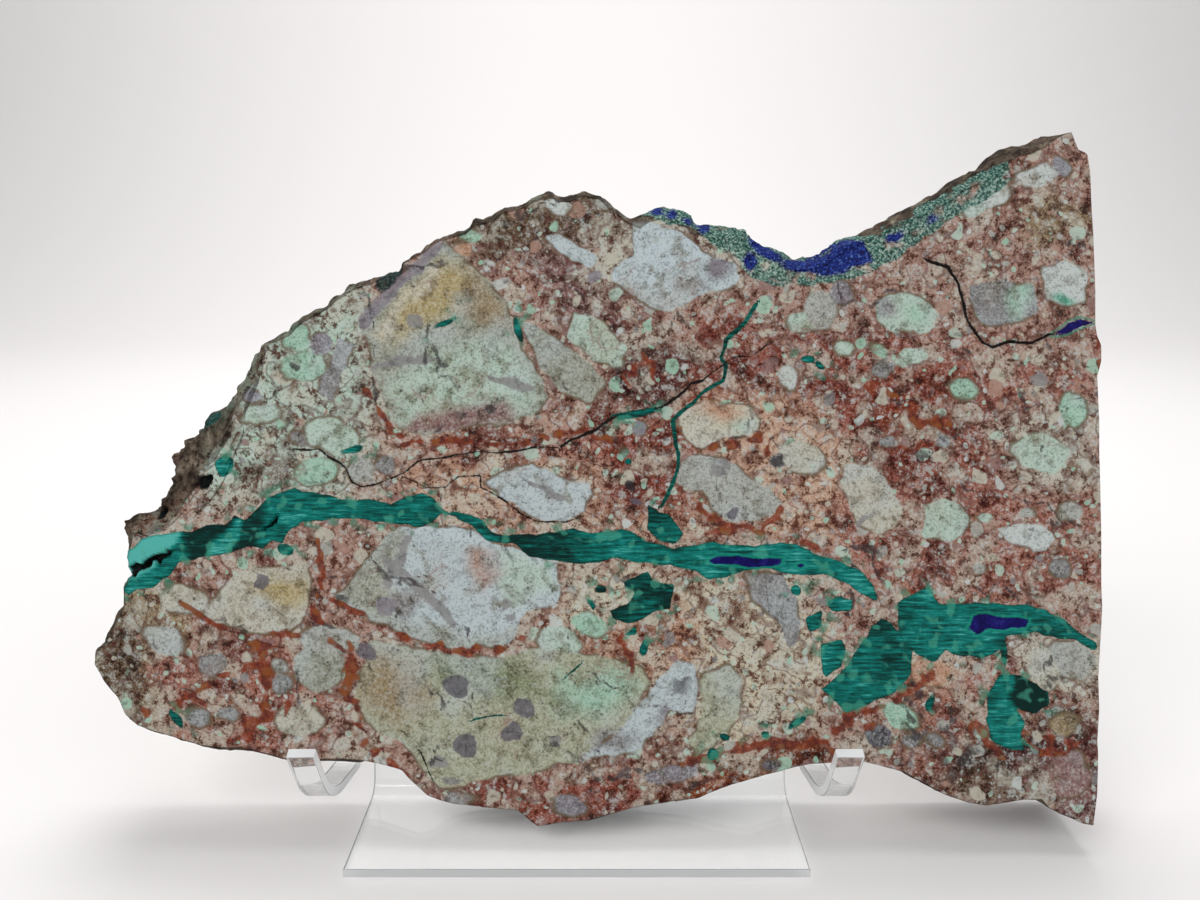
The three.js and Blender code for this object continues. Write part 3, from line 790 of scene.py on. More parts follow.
GREEN_THREADS = [
    (2.0, [(662, 506), (672, 487), (678, 471), (678, 452), (675, 442), (673, 420), (691, 405),
           (703, 393), (723, 380), (726, 364), (721, 357), (727, 341), (739, 328), (750, 315),
           (756, 304)]),
    (1.6, [(615, 416), (634, 412), (656, 409)]),
    (1.0, [(473, 720), (488, 717), (502, 716)]),
    (1.0, [(566, 677), (574, 670), (580, 664)]),
]
RUST_SEAMS = [
    (5.0, [(335, 600), (346, 609), (370, 620), (392, 629), (413, 643), (432, 648), (464, 652),
           (489, 650), (510, 645), (522, 634)]),
    (7.0, [(249, 641), (268, 646), (263, 667), (265, 689), (271, 702), (289, 704), (271, 715),
           (255, 721), (247, 737), (232, 742)]),
    (5.0, [(238, 702), (220, 705), (198, 702), (160, 712), (147, 712), (192, 696), (215, 680), (239, 670),
           (263, 667)]),
    (4.0, [(176, 603), (196, 614), (217, 627), (247, 634), (300, 633)]),
    (7.0, [(347, 640), (352, 660), (350, 690), (362, 720), (352, 745), (376, 752), (392, 764), (404, 776)]),
    (4.0, [(318, 540), (322, 580), (314, 610), (332, 640), (350, 655)]),
    (7.0, [(914, 595), (925, 608), (941, 628)]),
    (6.0, [(957, 689), (968, 706), (986, 738), (1000, 756)]),
    (6.0, [(846, 718), (880, 708), (912, 690), (930, 676)]),
    (4.0, [(675, 426), (686, 440), (699, 450), (730, 444), (756, 438), (770, 452)]),
    (5.0, [(780, 508), (770, 522), (748, 528), (720, 520), (700, 508)]),
    (7.0, [(690, 762), (730, 752), (776, 744), (820, 742), (850, 726)]),
    (5.0, [(620, 640), (630, 656), (634, 672)]),
    (4.0, [(400, 445), (440, 440), (490, 444), (540, 440), (580, 430), (610, 440)]),
    (4.0, [(364, 390), (380, 412), (400, 436)]),
    (5.0, [(1020, 730), (1035, 746), (1050, 752)]),
    (4.0, [(668, 548), (690, 540), (720, 530), (770, 534), (820, 548)]),
    (4.0, [(534, 204), (545, 194), (556, 192), (569, 197)]),
    (6.0, [(1100, 338), (1103, 358), (1099, 376)]),
]
# Ovals where the groundmass is rusty
RUST_ZONES = [
    (921, 418, 32, 12, 10), (908, 450, 18, 10, 0), (254, 712, 14, 16, 0), (1048, 748, 36, 12, 4),
    (972, 716, 12, 22, -20), (858, 722, 24, 6, -20), (355, 740, 14, 10, 0), (800, 750, 30, 6, -10),
    (640, 372, 20, 14, 0), (702, 400, 10, 6, 0), (884, 392, 18, 8, 10)]
# Hollows: place in points, half length, half width and depth in mm, and turn in degrees
HOLLOWS = [
    (146, 565, 10.5, 1.2, 3.6, -25),
    (272, 523, 4.2, 1.0, 2.4, -44),
    (157, 513, 3.4, 1.7, 3.0, -28),
    (204, 481, 2.6, 2.0, 3.0, -30),
]


def hollow_depth(spots):
    """Depth of the hollows in mm: in each one a bowl, deepest in the middle and steep at its edge."""
    deep = np.zeros(len(spots))
    for x, y, along, aside, depth, turn in HOLLOWS:
        unit = from_oval(spots, x, y, along / MM_PER_POINT, aside / MM_PER_POINT, turn)
        share = np.clip(-unit / (min(along, aside) / MM_PER_POINT), 0.0, 1.0)
        deep = np.maximum(deep, depth * np.sqrt(share))
    return deep


def drawn_lines(spots, lines, reach):
    """Offset to the nearest of several lines, how near it is, and its half width, all in points."""
    nearest = np.full(len(spots), float(reach))
    offset = np.full(len(spots), float(reach))
    width = np.ones(len(spots))
    for half, points in lines:
        distance, side = from_line(spots, points, reach)
        closer = distance < nearest
        nearest[closer] = distance[closer]
        offset[closer] = side[closer]
        width[closer] = half
    return offset, nearest, width


def slab_fields(places, depths, rough):
    """What the stone is made of at each point of the slab, as named values for its material."""
    at = solid_places(places, depths)
    through = (depths / SLAB_THICKNESS)[:, None]
    drift = pushes(at, 34.0, (11, 12)) * 40.0 + np.array([9.0, -7.0])
    wander = pushes(at, 2.6, (13, 14)) * 1.6
    wander += pushes(at, 6.5, (15, 16)) * 2.0
    true_spots = places + through * drift
    spots = true_spots + wander
    soft_spots = true_spots + pushes(at, 7.0, (17, 18)) * 12.0
    fields = {}
    fields["ground"] = painted(soft_spots, "rosy", GROUND_ZONES)
    clast_edge, clast = nearest_of(spots, CLASTS, 30.0)
    between = soft_spots * 0.5 + spots * 0.5
    for tone, softness, shape in CLAST_TINTS:
        cover = soft_cover(between, shape, softness)
        clast += cover[:, None] * (linear(tone) - clast)
    fields["clast"] = clast
    fields["clast_edge"] = clast_edge
    pebble_edge, pebble = nearest_of(spots + 0.5 * wander, PEBBLES, 12.0)
    fields["pebble"] = pebble
    fields["pebble_edge"] = pebble_edge
    fields["malachite"] = joined(true_spots + 0.8 * wander, MALACHITE, 14.0)
    fields["azurite"] = joined(true_spots + 0.6 * wander, AZURITE, 14.0)
    for name, lines, share in (("crack", OPEN_CRACKS, 0.35), ("thread", GREEN_THREADS, 0.5)):
        offset, near, width = drawn_lines(true_spots + share * wander, lines, 16.0)
        fields[name] = offset
        fields[name + "_near"] = near
        fields[name + "_width"] = width
    _, near, width = drawn_lines(spots, RUST_SEAMS, 24.0)
    rust = 0.78 * np.clip(1.0 - near / (1.9 * width), 0.0, 1.0)
    for zone in RUST_ZONES:
        rust = np.maximum(rust, 0.55 * eased(-from_shape(soft_spots, zone, 30.0), -10.0, 8.0))
    fields["rust"] = rust
    fields["crust"] = eased(-from_shape(spots, CRUST_BAND, 20.0), -8.0, 7.0) * (depths < 20.0)
    fields["crust_blue"] = joined(spots, CRUST_BLUE, 20.0)
    fields["rough"] = rough
    fields["druse"] = joined(spots, DRUSE, 12.0)
    turned = at @ TURNED
    fields["broad"] = 0.5 + 0.2 * lumps(turned, 13.0, 24) + 0.12 * lumps(turned, 6.0, 25)
    fields["cloud"] = 0.5 + 0.3 * lumps(turned, 6.5, 26)
    fields["ridge"] = 0.5 + 0.26 * lumps(turned, 5.4, 43) + 0.12 * lumps(turned, 2.5, 44)
    fields["patchy"] = 0.5 + 0.24 * lumps(turned, 2.7, 41) + 0.15 * lumps(turned, 1.4, 42)
    fields["weather"] = 0.5 + 0.2 * lumps(turned, 4.2, 45) + 0.16 * lumps(turned, 1.9, 46)
    fields["shake"] = 0.0012 * pushes(turned, 3.0, (47, 48, 49))
    fields["hair"] = cell_walls(at + 0.8 * np.column_stack([wander, wander[:, :1]]), 26.0, 31)
    tone = np.zeros(len(spots))
    for lift, softness, shape in MALACHITE_TONES:
        tone += soft_cover(between, shape, softness) * (lift - tone)
    fields["malachite_tone"] = tone
    return fields


def mesh_from(name, points, quads, triangles):
    """A mesh from arrays of points, four-sided faces and three-sided faces."""
    mesh = bpy.data.meshes.new(name)
    corners = np.concatenate([quads.ravel(), triangles.ravel()]).astype(np.int32)
    sizes = np.concatenate([np.full(len(quads), 4), np.full(len(triangles), 3)])
    starts = np.concatenate([[0], np.cumsum(sizes)[:-1]]).astype(np.int32)
    mesh.vertices.add(len(points))
    mesh.vertices.foreach_set("co", points.astype(np.float32).ravel())
    mesh.loops.add(len(corners))
    mesh.loops.foreach_set("vertex_index", corners)
    mesh.polygons.add(len(sizes))
    mesh.polygons.foreach_set("loop_start", starts)
    mesh.polygons.foreach_set("use_smooth", np.ones(len(sizes), dtype=bool))
    mesh.update(calc_edges=True)
    mesh.validate()
    return mesh


def add_fields(mesh, fields):
    """Named values on a mesh's points: single numbers, or colours."""
    for name, values in fields.items():
        if values.ndim == 1:
            mesh.attributes.new(name, "FLOAT", "POINT").data.foreach_set("value", values.astype(np.float32))
        else:
            colours = np.column_stack([values, np.ones(len(values))]).astype(np.float32)
            mesh.attributes.new(name, "FLOAT_COLOR", "POINT").data.foreach_set("color", colours.ravel())


def put_in_scene(name, mesh, material):
    """A piece of the object in the scene, with its material."""
    piece = bpy.data.objects.new(name, mesh)
    bpy.context.scene.collection.objects.link(piece)
    mesh.materials.append(material)
    return piece


class Recipe:
    """Adds shader nodes to one material and links them, so that a material reads as steps."""

    def __init__(self, name):
        self.material = bpy.data.materials.new(name)
        self.material.use_nodes = True
        self.tree = self.material.node_tree
        self.shader = self.tree.nodes["Principled BSDF"]
        self.place = self.node("ShaderNodeTexCoord").outputs["Object"]

    def node(self, kind, **settings):
        """A new node with its settings."""
        made = self.tree.nodes.new(kind)
        for key, value in settings.items():
            setattr(made, key, value)
        return made

    def feed(self, socket, value):
        """Links another node's output to an input, or sets a plain value or colour."""
        if isinstance(value, bpy.types.NodeSocket):
            self.tree.links.new(value, socket)
        elif isinstance(value, (tuple, list, np.ndarray)) and socket.type == "RGBA":
            socket.default_value = (*[float(v) for v in value[:3]], 1.0)
        elif isinstance(value, (tuple, list, np.ndarray)):
            socket.default_value = tuple(float(v) for v in value)
        else:
            socket.default_value = value

    def value(self, name):
        """A number on the mesh's points or faces."""
        return self.node("ShaderNodeAttribute", attribute_name=name).outputs["Fac"]

    def colour(self, name):
        """A colour on the mesh's points."""
        return self.node("ShaderNodeAttribute", attribute_name=name).outputs["Color"]

    def math(self, operation, a, b=0.0, clamp=False):
        """One sum on one or two numbers."""
        made = self.node("ShaderNodeMath", operation=operation, use_clamp=clamp)
        self.feed(made.inputs[0], a)
        self.feed(made.inputs[1], b)
        return made.outputs[0]

    def scaled(self, value, share):
        """A number times a share."""
        return self.math("MULTIPLY", value, share)

    def parts(self, colour):
        """Red, green and blue as three numbers."""
        made = self.node("ShaderNodeSeparateColor")
        self.feed(made.inputs[0], colour)
        return made.outputs[0], made.outputs[1], made.outputs[2]

    def tinted(self, colour, tint):
        """A colour times a tint."""
        return self.mix(1.0, colour, tint, "MULTIPLY")

    def step(self, value, low, high):
        """Smooth step from 0 at low to 1 at high."""
        made = self.node("ShaderNodeMapRange", interpolation_type="SMOOTHSTEP")
        self.feed(made.inputs["Value"], value)
        self.feed(made.inputs["From Min"], low)
        self.feed(made.inputs["From Max"], high)
        return made.outputs["Result"]

    def spread(self, value, low, high):
        """A number from 0 to 1, spread from low to high."""
        made = self.node("ShaderNodeMapRange")
        self.feed(made.inputs["Value"], value)
        self.feed(made.inputs["To Min"], low)
        self.feed(made.inputs["To Max"], high)
        return made.outputs["Result"]

    def stretched(self, scale, turn=0.0):
        """The place, turned about the depth and scaled each way."""
        made = self.node("ShaderNodeMapping")
        self.feed(made.inputs["Vector"], self.place)
        made.inputs["Rotation"].default_value = (0.0, math.radians(turn), 0.0)
        made.inputs["Scale"].default_value = scale
        return made.outputs["Vector"]

    def noise(self, scale, detail=3.0, roughness=0.55, vector=None):
        """Cloudy noise about one half."""
        made = self.node("ShaderNodeTexNoise")
        self.feed(made.inputs["Vector"], vector or self.place)
        made.inputs["Scale"].default_value = scale
        made.inputs["Detail"].default_value = detail
        made.inputs["Roughness"].default_value = roughness
        return made.outputs["Fac"]

    def shaken(self, name):
        """The place, moved about by a value on the points, so that shapes drawn on it are ragged."""
        moved = self.node("ShaderNodeVectorMath", operation="ADD")
        self.feed(moved.inputs[0], self.place)
        self.feed(moved.inputs[1], self.node("ShaderNodeAttribute", attribute_name=name).outputs["Vector"])
        return moved.outputs[0]

    def cells(self, scale, vector):
        """Cells round scattered centres, each with its own colour."""
        made = self.node("ShaderNodeTexVoronoi")
        self.feed(made.inputs["Vector"], vector)
        made.inputs["Scale"].default_value = scale
        return made

    def mix(self, factor, below, above, blend="MIX"):
        """One colour over another by a share."""
        made = self.node("ShaderNodeMix", data_type="RGBA", blend_type=blend)
        self.feed(made.inputs[0], factor)
        self.feed(made.inputs[6], below)
        self.feed(made.inputs[7], above)
        return made.outputs[2]

    def ramp(self, factor, stops, interpolation="LINEAR"):
        """A colour for each level of a number."""
        made = self.node("ShaderNodeValToRGB")
        self.feed(made.inputs["Fac"], factor)
        made.color_ramp.interpolation = interpolation
        elements = made.color_ramp.elements
        while len(elements) < len(stops):
            elements.new(1.0)
        for element, (position, colour) in zip(elements, stops):
            element.position = position
            element.color = (*[float(v) for v in colour], 1.0)
        return made.outputs["Color"]

    def bump(self, height, strength, distance):
        """Fine relief from a height."""
        made = self.node("ShaderNodeBump")
        made.inputs["Strength"].default_value = strength
        made.inputs["Distance"].default_value = distance
        self.feed(made.inputs["Height"], height)
        return made.outputs["Normal"]


# Tones of the smallest pebbles of the groundmass, and the level that each starts at
SPECK_TONES = [
    (0.0, "bone"), (0.22, "pale_mint"), (0.4, "pale_grey"), (0.55, "rosy"),
    (0.66, "mint"), (0.74, "mauve"), (0.82, "white"), (0.94, "grey")]


def along_lines(stone, name, fray, ragged):
    """Where drawn lines lie: within their half width, with ragged sides, and only close to them."""
    bound = stone.math("SUBTRACT", stone.math("ABSOLUTE", stone.value(name)), stone.value(name + "_width"))
    bound = stone.math("ADD", bound, stone.scaled(fray, ragged))
    close = stone.step(stone.value(name + "_near"), 7.0, 5.0)
    return stone.math("MULTIPLY", stone.step(bound, 0.6, -0.6), close)


def breccia_material():
    """Sawn and lapped breccia: groundmass, clasts, veins, seams and cracks, with a rough natural rim."""
    stone = Recipe("breccia")
    shaken = stone.shaken("shake")
    fine = stone.noise(1250.0, 2.0, 0.7)
    grain = stone.noise(330.0, 4.0, 0.82)
    patchy = stone.value("patchy")
    ridge = stone.value("ridge")
    web = stone.math("SUBTRACT", 1.0, stone.math("ABSOLUTE", stone.spread(ridge, -4.0, 4.0)), True)
    broad = stone.value("broad")
    cloud = stone.value("cloud")
    pale = stone.step(grain, 0.53, 0.61)
    dark = stone.step(grain, 0.48, 0.39)
    bright = stone.step(fine, 0.52, 0.64)
    dim = stone.step(fine, 0.49, 0.37)
    faded = stone.step(stone.math("ADD", stone.scaled(ridge, 0.6), stone.scaled(cloud, 0.4)), 0.52, 0.38)
    stained = stone.step(stone.math("ADD", stone.scaled(ridge, 0.6), stone.scaled(broad, 0.4)), 0.52, 0.64)

    # Groundmass: its zone's tone, mottled and grained, with small pebbles
    ground = stone.colour("ground")
    ground = stone.mix(stone.scaled(stained, 0.85), ground, stone.tinted(ground, (0.38, 0.2, 0.17)))
    ground = stone.mix(stone.scaled(faded, 0.9), ground, stone.mix(0.68, ground, linear("bone")))
    ground = stone.mix(stone.step(patchy, 0.52, 0.68), ground, stone.tinted(ground, (0.5, 0.36, 0.32)))
    ground = stone.mix(stone.scaled(pale, 0.8), ground, stone.mix(0.66, ground, linear("white")))
    ground = stone.mix(stone.scaled(bright, 0.22), ground, linear("white"))
    ground = stone.mix(dark, ground, stone.tinted(ground, (0.24, 0.13, 0.11)))
    ground = stone.mix(stone.scaled(dim, 0.5), ground, stone.tinted(ground, (0.36, 0.26, 0.24)))
    ground = stone.mix(stone.scaled(stone.step(web, 0.72, 0.95), 0.55), ground, linear("maroon"))
    for scale, share in ((430.0, 0.5), (165.0, 0.56)):
        cell = stone.cells(scale, shaken)
        chance, size, pick = stone.parts(cell.outputs["Color"])
        tones = stone.ramp(pick, [(level, linear(tone)) for level, tone in SPECK_TONES], "CONSTANT")
        tones = stone.mix(stone.scaled(dark, 0.75), tones, stone.tinted(tones, (0.42, 0.38, 0.36)))
        radius = stone.math("ADD", stone.scaled(size, 0.26), 0.17)
        inside = stone.step(stone.math("SUBTRACT", cell.outputs["Distance"], radius), 0.05, -0.03)
        present = stone.step(chance, share, share + 0.03)
        ground = stone.mix(stone.scaled(stone.math("MULTIPLY", present, inside), 0.8), ground, tones)

    # Clasts: frayed at the edge, grained and specked within, with a broken brown line around
    fray = stone.math("ADD", stone.scaled(patchy, 5.5), stone.math("ADD", stone.scaled(fine, 5.0), -5.25))
    edge = stone.math("ADD", stone.value("clast_edge"), fray)
    clast = stone.colour("clast")
    clast = stone.mix(stone.step(patchy, 0.53, 0.7), clast, stone.tinted(clast, (0.6, 0.54, 0.48)))
    clast = stone.mix(stone.step(broad, 0.5, 0.3), clast, stone.mix(0.4, clast, linear("white_blue")))
    clast = stone.mix(stone.step(broad, 0.56, 0.74), clast, stone.mix(0.35, clast, linear("tan")))
    clast = stone.mix(stone.scaled(pale, 0.4), clast, stone.mix(0.6, clast, linear("white")))
    clast = stone.mix(stone.scaled(bright, 0.5), clast, stone.mix(0.7, clast, linear("white")))
    clast = stone.mix(stone.scaled(dark, 0.6), clast, stone.tinted(clast, (0.5, 0.47, 0.44)))
    clast = stone.mix(stone.scaled(dim, 0.6), clast, stone.tinted(clast, (0.45, 0.44, 0.43)))
    dotted = stone.math("MULTIPLY", stone.step(fine, 0.4, 0.3), stone.step(patchy, 0.5, 0.58))
    clast = stone.mix(stone.scaled(dotted, 0.85), clast, linear("soot"))
    veined = stone.math("MULTIPLY", stone.step(web, 0.8, 0.98), stone.step(broad, 0.5, 0.66))
    clast = stone.mix(stone.scaled(veined, 0.5), clast, linear("mauve"))
    colour = stone.mix(stone.step(edge, 0.8, -0.8), ground, clast)
    line = stone.step(stone.math("ABSOLUTE", edge), 2.4, 0.2)
    line = stone.math("MULTIPLY", line, stone.step(ridge, 0.42, 0.56))
    colour = stone.mix(stone.scaled(line, 0.8), colour, linear("umber"))
    pebble_edge = stone.math("ADD", stone.value("pebble_edge"), stone.scaled(fray, 0.5))
    pebble = stone.colour("pebble")
    pebble = stone.mix(stone.scaled(pale, 0.35), pebble, stone.mix(0.5, pebble, linear("pale_grey")))
    pebble = stone.mix(stone.scaled(dark, 0.7), pebble, stone.tinted(pebble, (0.5, 0.5, 0.52)))
    colour = stone.mix(stone.scaled(stone.step(pebble_edge, 0.9, -1.2), 0.85), colour, pebble)

    # Long hairlines
    hair = stone.math("ADD", stone.value("hair"), stone.scaled(fray, 0.05))
    hair = stone.math("MULTIPLY", stone.step(hair, 0.32, 0.1), stone.step(cloud, 0.44, 0.58))
    colour = stone.mix(stone.scaled(hair, 0.8), colour, linear("soot"))

    # Rust along seams, ragged
    rusting = stone.math("ADD", stone.value("rust"), stone.scaled(web, 0.42))
    rusting = stone.math("ADD", rusting, stone.scaled(patchy, 0.7))
    rusty = stone.step(rusting, 0.98, 1.2)
    rust = stone.mix(stone.step(grain, 0.4, 0.58), linear("maroon"), linear("rust"))
    rust = stone.mix(stone.step(grain, 0.56, 0.68), rust, linear("pink"))
    rust = stone.mix(stone.step(patchy, 0.55, 0.68), rust, linear("amber"))
    colour = stone.mix(stone.scaled(rusty, 0.92), colour, rust)

    # Malachite: fibrous streaks along the vein, with its own paler and darker stretches
    streak = stone.noise(1.0, 3.0, 0.7, stone.stretched((130.0, 500.0, 1300.0), 5.0))
    tone = stone.math("ADD", stone.scaled(streak, 0.62), stone.scaled(cloud, 0.2))
    tone = stone.math("ADD", tone, stone.scaled(grain, 0.18))
    tone = stone.math("ADD", tone, stone.scaled(stone.value("malachite_tone"), 0.2))
    green = stone.ramp(tone, [
        (0.36, (0.0005, 0.018, 0.015)), (0.45, (0.001, 0.066, 0.055)), (0.51, (0.001, 0.128, 0.107)),
        (0.57, (0.005, 0.195, 0.168)), (0.68, (0.08, 0.4, 0.355))])
    bound = stone.math("ADD", stone.value("malachite"), stone.scaled(fray, 0.3))
    green = stone.mix(stone.step(bound, -2.2, -0.2), green, stone.tinted(green, (0.42, 0.55, 0.5)))
    is_green = stone.step(bound, 0.6, -0.6)
    colour = stone.mix(is_green, colour, green)
    tinge = stone.math("MULTIPLY", stone.step(bound, 16.0, 2.0), stone.step(patchy, 0.56, 0.66))
    colour = stone.mix(stone.scaled(tinge, 0.45), colour, linear("teal"))
    colour = stone.mix(along_lines(stone, "thread", fray, 0.4), colour, green)

    # Azurite, with a bright green line around it
    blue_bound = stone.math("ADD", stone.value("azurite"), stone.scaled(fray, 0.45))
    halo = stone.step(stone.math("ABSOLUTE", stone.math("SUBTRACT", blue_bound, 1.6)), 1.6, 0.4)
    colour = stone.mix(stone.scaled(halo, 0.6), colour, (0.008, 0.24, 0.16))
    blue = stone.ramp(grain, [
        (0.35, (0.002, 0.001, 0.03)), (0.55, (0.004, 0.002, 0.09)), (0.75, (0.02, 0.02, 0.18))])
    is_blue = stone.step(blue_bound, 0.5, -0.5)
    colour = stone.mix(is_blue, colour, blue)

    # Open cracks, painted near-black as the shade inside their gaps
    is_split = along_lines(stone, "crack", fray, 0.45)
    is_split = stone.math("MULTIPLY", is_split, stone.math("SUBTRACT", 1.0, is_green))
    colour = stone.mix(is_split, colour, (0.008, 0.006, 0.005))

    # Natural rim: weathered brown over the stone's own tones, but not over the malachite, with painted shade
    # and painted highlight on its crags
    rough = stone.value("rough")
    weather = stone.math("ADD", stone.scaled(stone.value("weather"), 0.6), stone.scaled(grain, 0.4))
    # Brown from near-black to pale along the field that also raises the crags: painted shade in their low
    # spots, painted highlight on their high spots
    brown_shade_and_highlight = stone.ramp(weather, [
        (0.36, (0.006, 0.005, 0.004)), (0.45, (0.028, 0.02, 0.014)), (0.55, (0.085, 0.063, 0.044)),
        (0.63, (0.2, 0.165, 0.12)), (0.72, (0.4, 0.35, 0.28))])
    weathered_and_shaded = stone.mix(stone.step(broad, 0.3, 0.62), stone.tinted(colour, (0.5, 0.48, 0.44)), brown_shade_and_highlight)
    weathered_and_shaded = stone.mix(stone.scaled(dark, 0.6), weathered_and_shaded, stone.tinted(weathered_and_shaded, (0.3, 0.28, 0.26)))
    worn = stone.step(stone.math("ADD", rough, stone.scaled(patchy, 0.5)), 0.55, 0.85)
    worn = stone.math("MULTIPLY", worn, stone.math("SUBTRACT", 1.0, stone.scaled(is_green, 0.85)))
    colour = stone.mix(worn, colour, weathered_and_shaded)
    # Painted shade: the deepest parts of the hollows darkened to near black
    colour = stone.mix(stone.step(stone.value("sunk"), 0.4, 1.6), colour, (0.006, 0.008, 0.007))

    # Crust of small blue and green beads on the upper right edge, and dark druse on the upper left
    sea = stone.ramp(fine, [
        (0.33, (0.008, 0.02, 0.018)), (0.42, (0.012, 0.06, 0.05)), (0.5, (0.045, 0.15, 0.12)),
        (0.57, (0.16, 0.28, 0.235)), (0.68, (0.42, 0.5, 0.43))])
    deep = stone.ramp(fine, [
        (0.33, (0.006, 0.007, 0.02)), (0.42, (0.005, 0.008, 0.075)), (0.52, (0.009, 0.022, 0.17)),
        (0.62, (0.02, 0.055, 0.28)), (0.72, (0.14, 0.22, 0.3))])
    blue_patch = stone.math("ADD", stone.value("crust_blue"), stone.scaled(fray, 1.6))
    is_deep = stone.step(blue_patch, 2.0, -2.0)
    crust = stone.mix(is_deep, sea, deep)
    covered = stone.step(stone.math("ADD", stone.value("crust"), stone.scaled(patchy, 0.8)), 0.95, 1.15)
    bare = stone.scaled(stone.step(weather, 0.64, 0.52), 0.9)
    covered = stone.math("MULTIPLY", covered, stone.math("MAXIMUM", bare, is_deep))
    colour = stone.mix(covered, colour, crust)
    night = stone.ramp(fine, [
        (0.36, (0.003, 0.006, 0.006)), (0.5, (0.008, 0.03, 0.028)), (0.6, (0.03, 0.07, 0.062)),
        (0.72, (0.12, 0.17, 0.15))])
    is_night = stone.step(stone.math("ADD", stone.value("druse"), fray), 1.5, -1.5)
    colour = stone.mix(stone.scaled(is_night, 0.92), colour, night)
    stone.feed(stone.shader.inputs["Base Color"], colour)

    # Finish: satin on the face, matt on the rim
    sheen = stone.spread(grain, 0.42, 0.62)
    sheen = stone.math("SUBTRACT", sheen, stone.scaled(is_green, 0.1))
    sheen = stone.math("ADD", sheen, stone.scaled(rough, 0.35), True)
    stone.feed(stone.shader.inputs["Roughness"], sheen)
    saw = stone.noise(1.0, 0.0, 0.5, stone.stretched((1000.0, 40.0, 120.0), -38.0))
    relief = stone.scaled(stone.math("ADD", stone.scaled(saw, 0.5), fine), 0.0001)
    crags = stone.math("ADD", stone.value("weather"), stone.scaled(fine, 0.35))
    crags = stone.scaled(stone.math("MULTIPLY", crags, rough), 0.0024)
    stone.feed(stone.shader.inputs["Normal"], stone.bump(stone.math("ADD", relief, crags), 0.7, 1.0))
    stone.shader.inputs["IOR"].default_value = 1.5
    stone.shader.inputs["Specular IOR Level"].default_value = 0.1
    return stone.material


def make_slab():
    """The slab in place of its plain solid."""
    places, depths, rough, quads, triangles = shaped_slab()
    fields = slab_fields(places, depths, rough)
    at = solid_places(places, depths)
    face = depths < 0.01
    wander = pushes(at, 2.0, (21, 23)) * 3.5
    hollows = hollow_depth(places + wander) * (depths < WORKED_DEPTH)
    groove = np.clip(1.0 - fields["crack_near"] / (2.4 + fields["crack_width"]), 0.0, 1.0)
    sunk = np.maximum(hollows, groove * fields["crack_width"] * 0.9 * face)
    beaded = 0.6 - np.abs(lumps(at, 1.7, 22))
    out = fields["crust"] * (depths > 0.1) * (depths < WORKED_DEPTH) * beaded * 0.9
    # The hollows' depth also sets where their painted shade goes
    fields["sunk"] = hollows
    points = on_slab(places, depths + sunk - out)
    mesh = mesh_from("slab_stone", points, quads, triangles)
    add_fields(mesh, fields)
    mesh.set_sharp_from_angle(angle=math.radians(38.0))
    slab = put_in_scene("slab_stone", mesh, breccia_material())
    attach(slab, "root")
    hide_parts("slab")


# Easel sizes in millimetres
SHEET = 3.0
STRIP_WIDTH = 8.1
STRIP_OUTER_X = 83.5
PLATE_HALF_WIDTH = 71.0
PLATE_FRONT_Y = -22.0
FIT_GAP = 0.3
LEDGE_BELOW_REFERENCE = 6.5
LIP_TOP = (-24.4, 44.2)
LIP_SLANT = math.radians(26.0)
LIP_BEND = 26.0
PANEL_APEX_Z = 158.0
SLOT_TOP_Z = 26.0
FOOT_Y = 94.0
FOOT_LENGTH = 16.0
SMALL_BEND = 7.0
LEDGE_BEND = 4.5
TOP_BEND = 9.0
BEND_STEPS = 20
POLISHED_EDGE = 0.35


def bent_line(corners, bends):
    """Centre line of a bent sheet in (y, z): straights joined by arcs of the given radii."""
    at = [np.array(corner, dtype=float) for corner in corners]
    line = [at[0]]
    for radius, before, here, after in zip(bends, at, at[1:], at[2:]):
        inward = (before - here) / np.linalg.norm(before - here)
        outward = (after - here) / np.linalg.norm(after - here)
        half = math.acos(float(inward @ outward)) / 2.0
        bisector = (inward + outward) / np.linalg.norm(inward + outward)
        centre = here + bisector * radius / math.sin(half)
        start = here + inward * radius / math.tan(half) - centre
        end = here + outward * radius / math.tan(half) - centre
        sweep = math.atan2(start[0] * end[1] - start[1] * end[0], float(start @ end))
        angles = np.linspace(0.0, sweep, BEND_STEPS + 1)
        cosine, sine = np.cos(angles), np.sin(angles)
        arc = np.column_stack([start[0] * cosine - start[1] * sine, start[0] * sine + start[1] * cosine])
        line.extend(centre + arc)
    line.append(at[-1])
    return np.array(line)


def sheet_faces(line):
    """The sheet's two faces: its centre line moved half a sheet to the left and to the right."""
    before = np.concatenate([line[:1], line[:-1]])
    after = np.concatenate([line[1:], line[-1:]])
    along = (after - before) / np.linalg.norm(after - before, axis=1)[:, None]
    aside = np.column_stack([-along[:, 1], along[:, 0]]) * SHEET / 2.0
    return line + aside, line - aside


def patch(a, b, c, d):
    """Four-sided patches from rows of corners, each corner an x and a run of (y, z) points."""
    rows = max(len(np.atleast_2d(corner[1])) for corner in (a, b, c, d))
    made = [
        np.column_stack([np.full(rows, x), np.broadcast_to(np.atleast_2d(points), (rows, 2))])
        for x, points in (a, b, c, d)]
    return np.stack(made, axis=1)


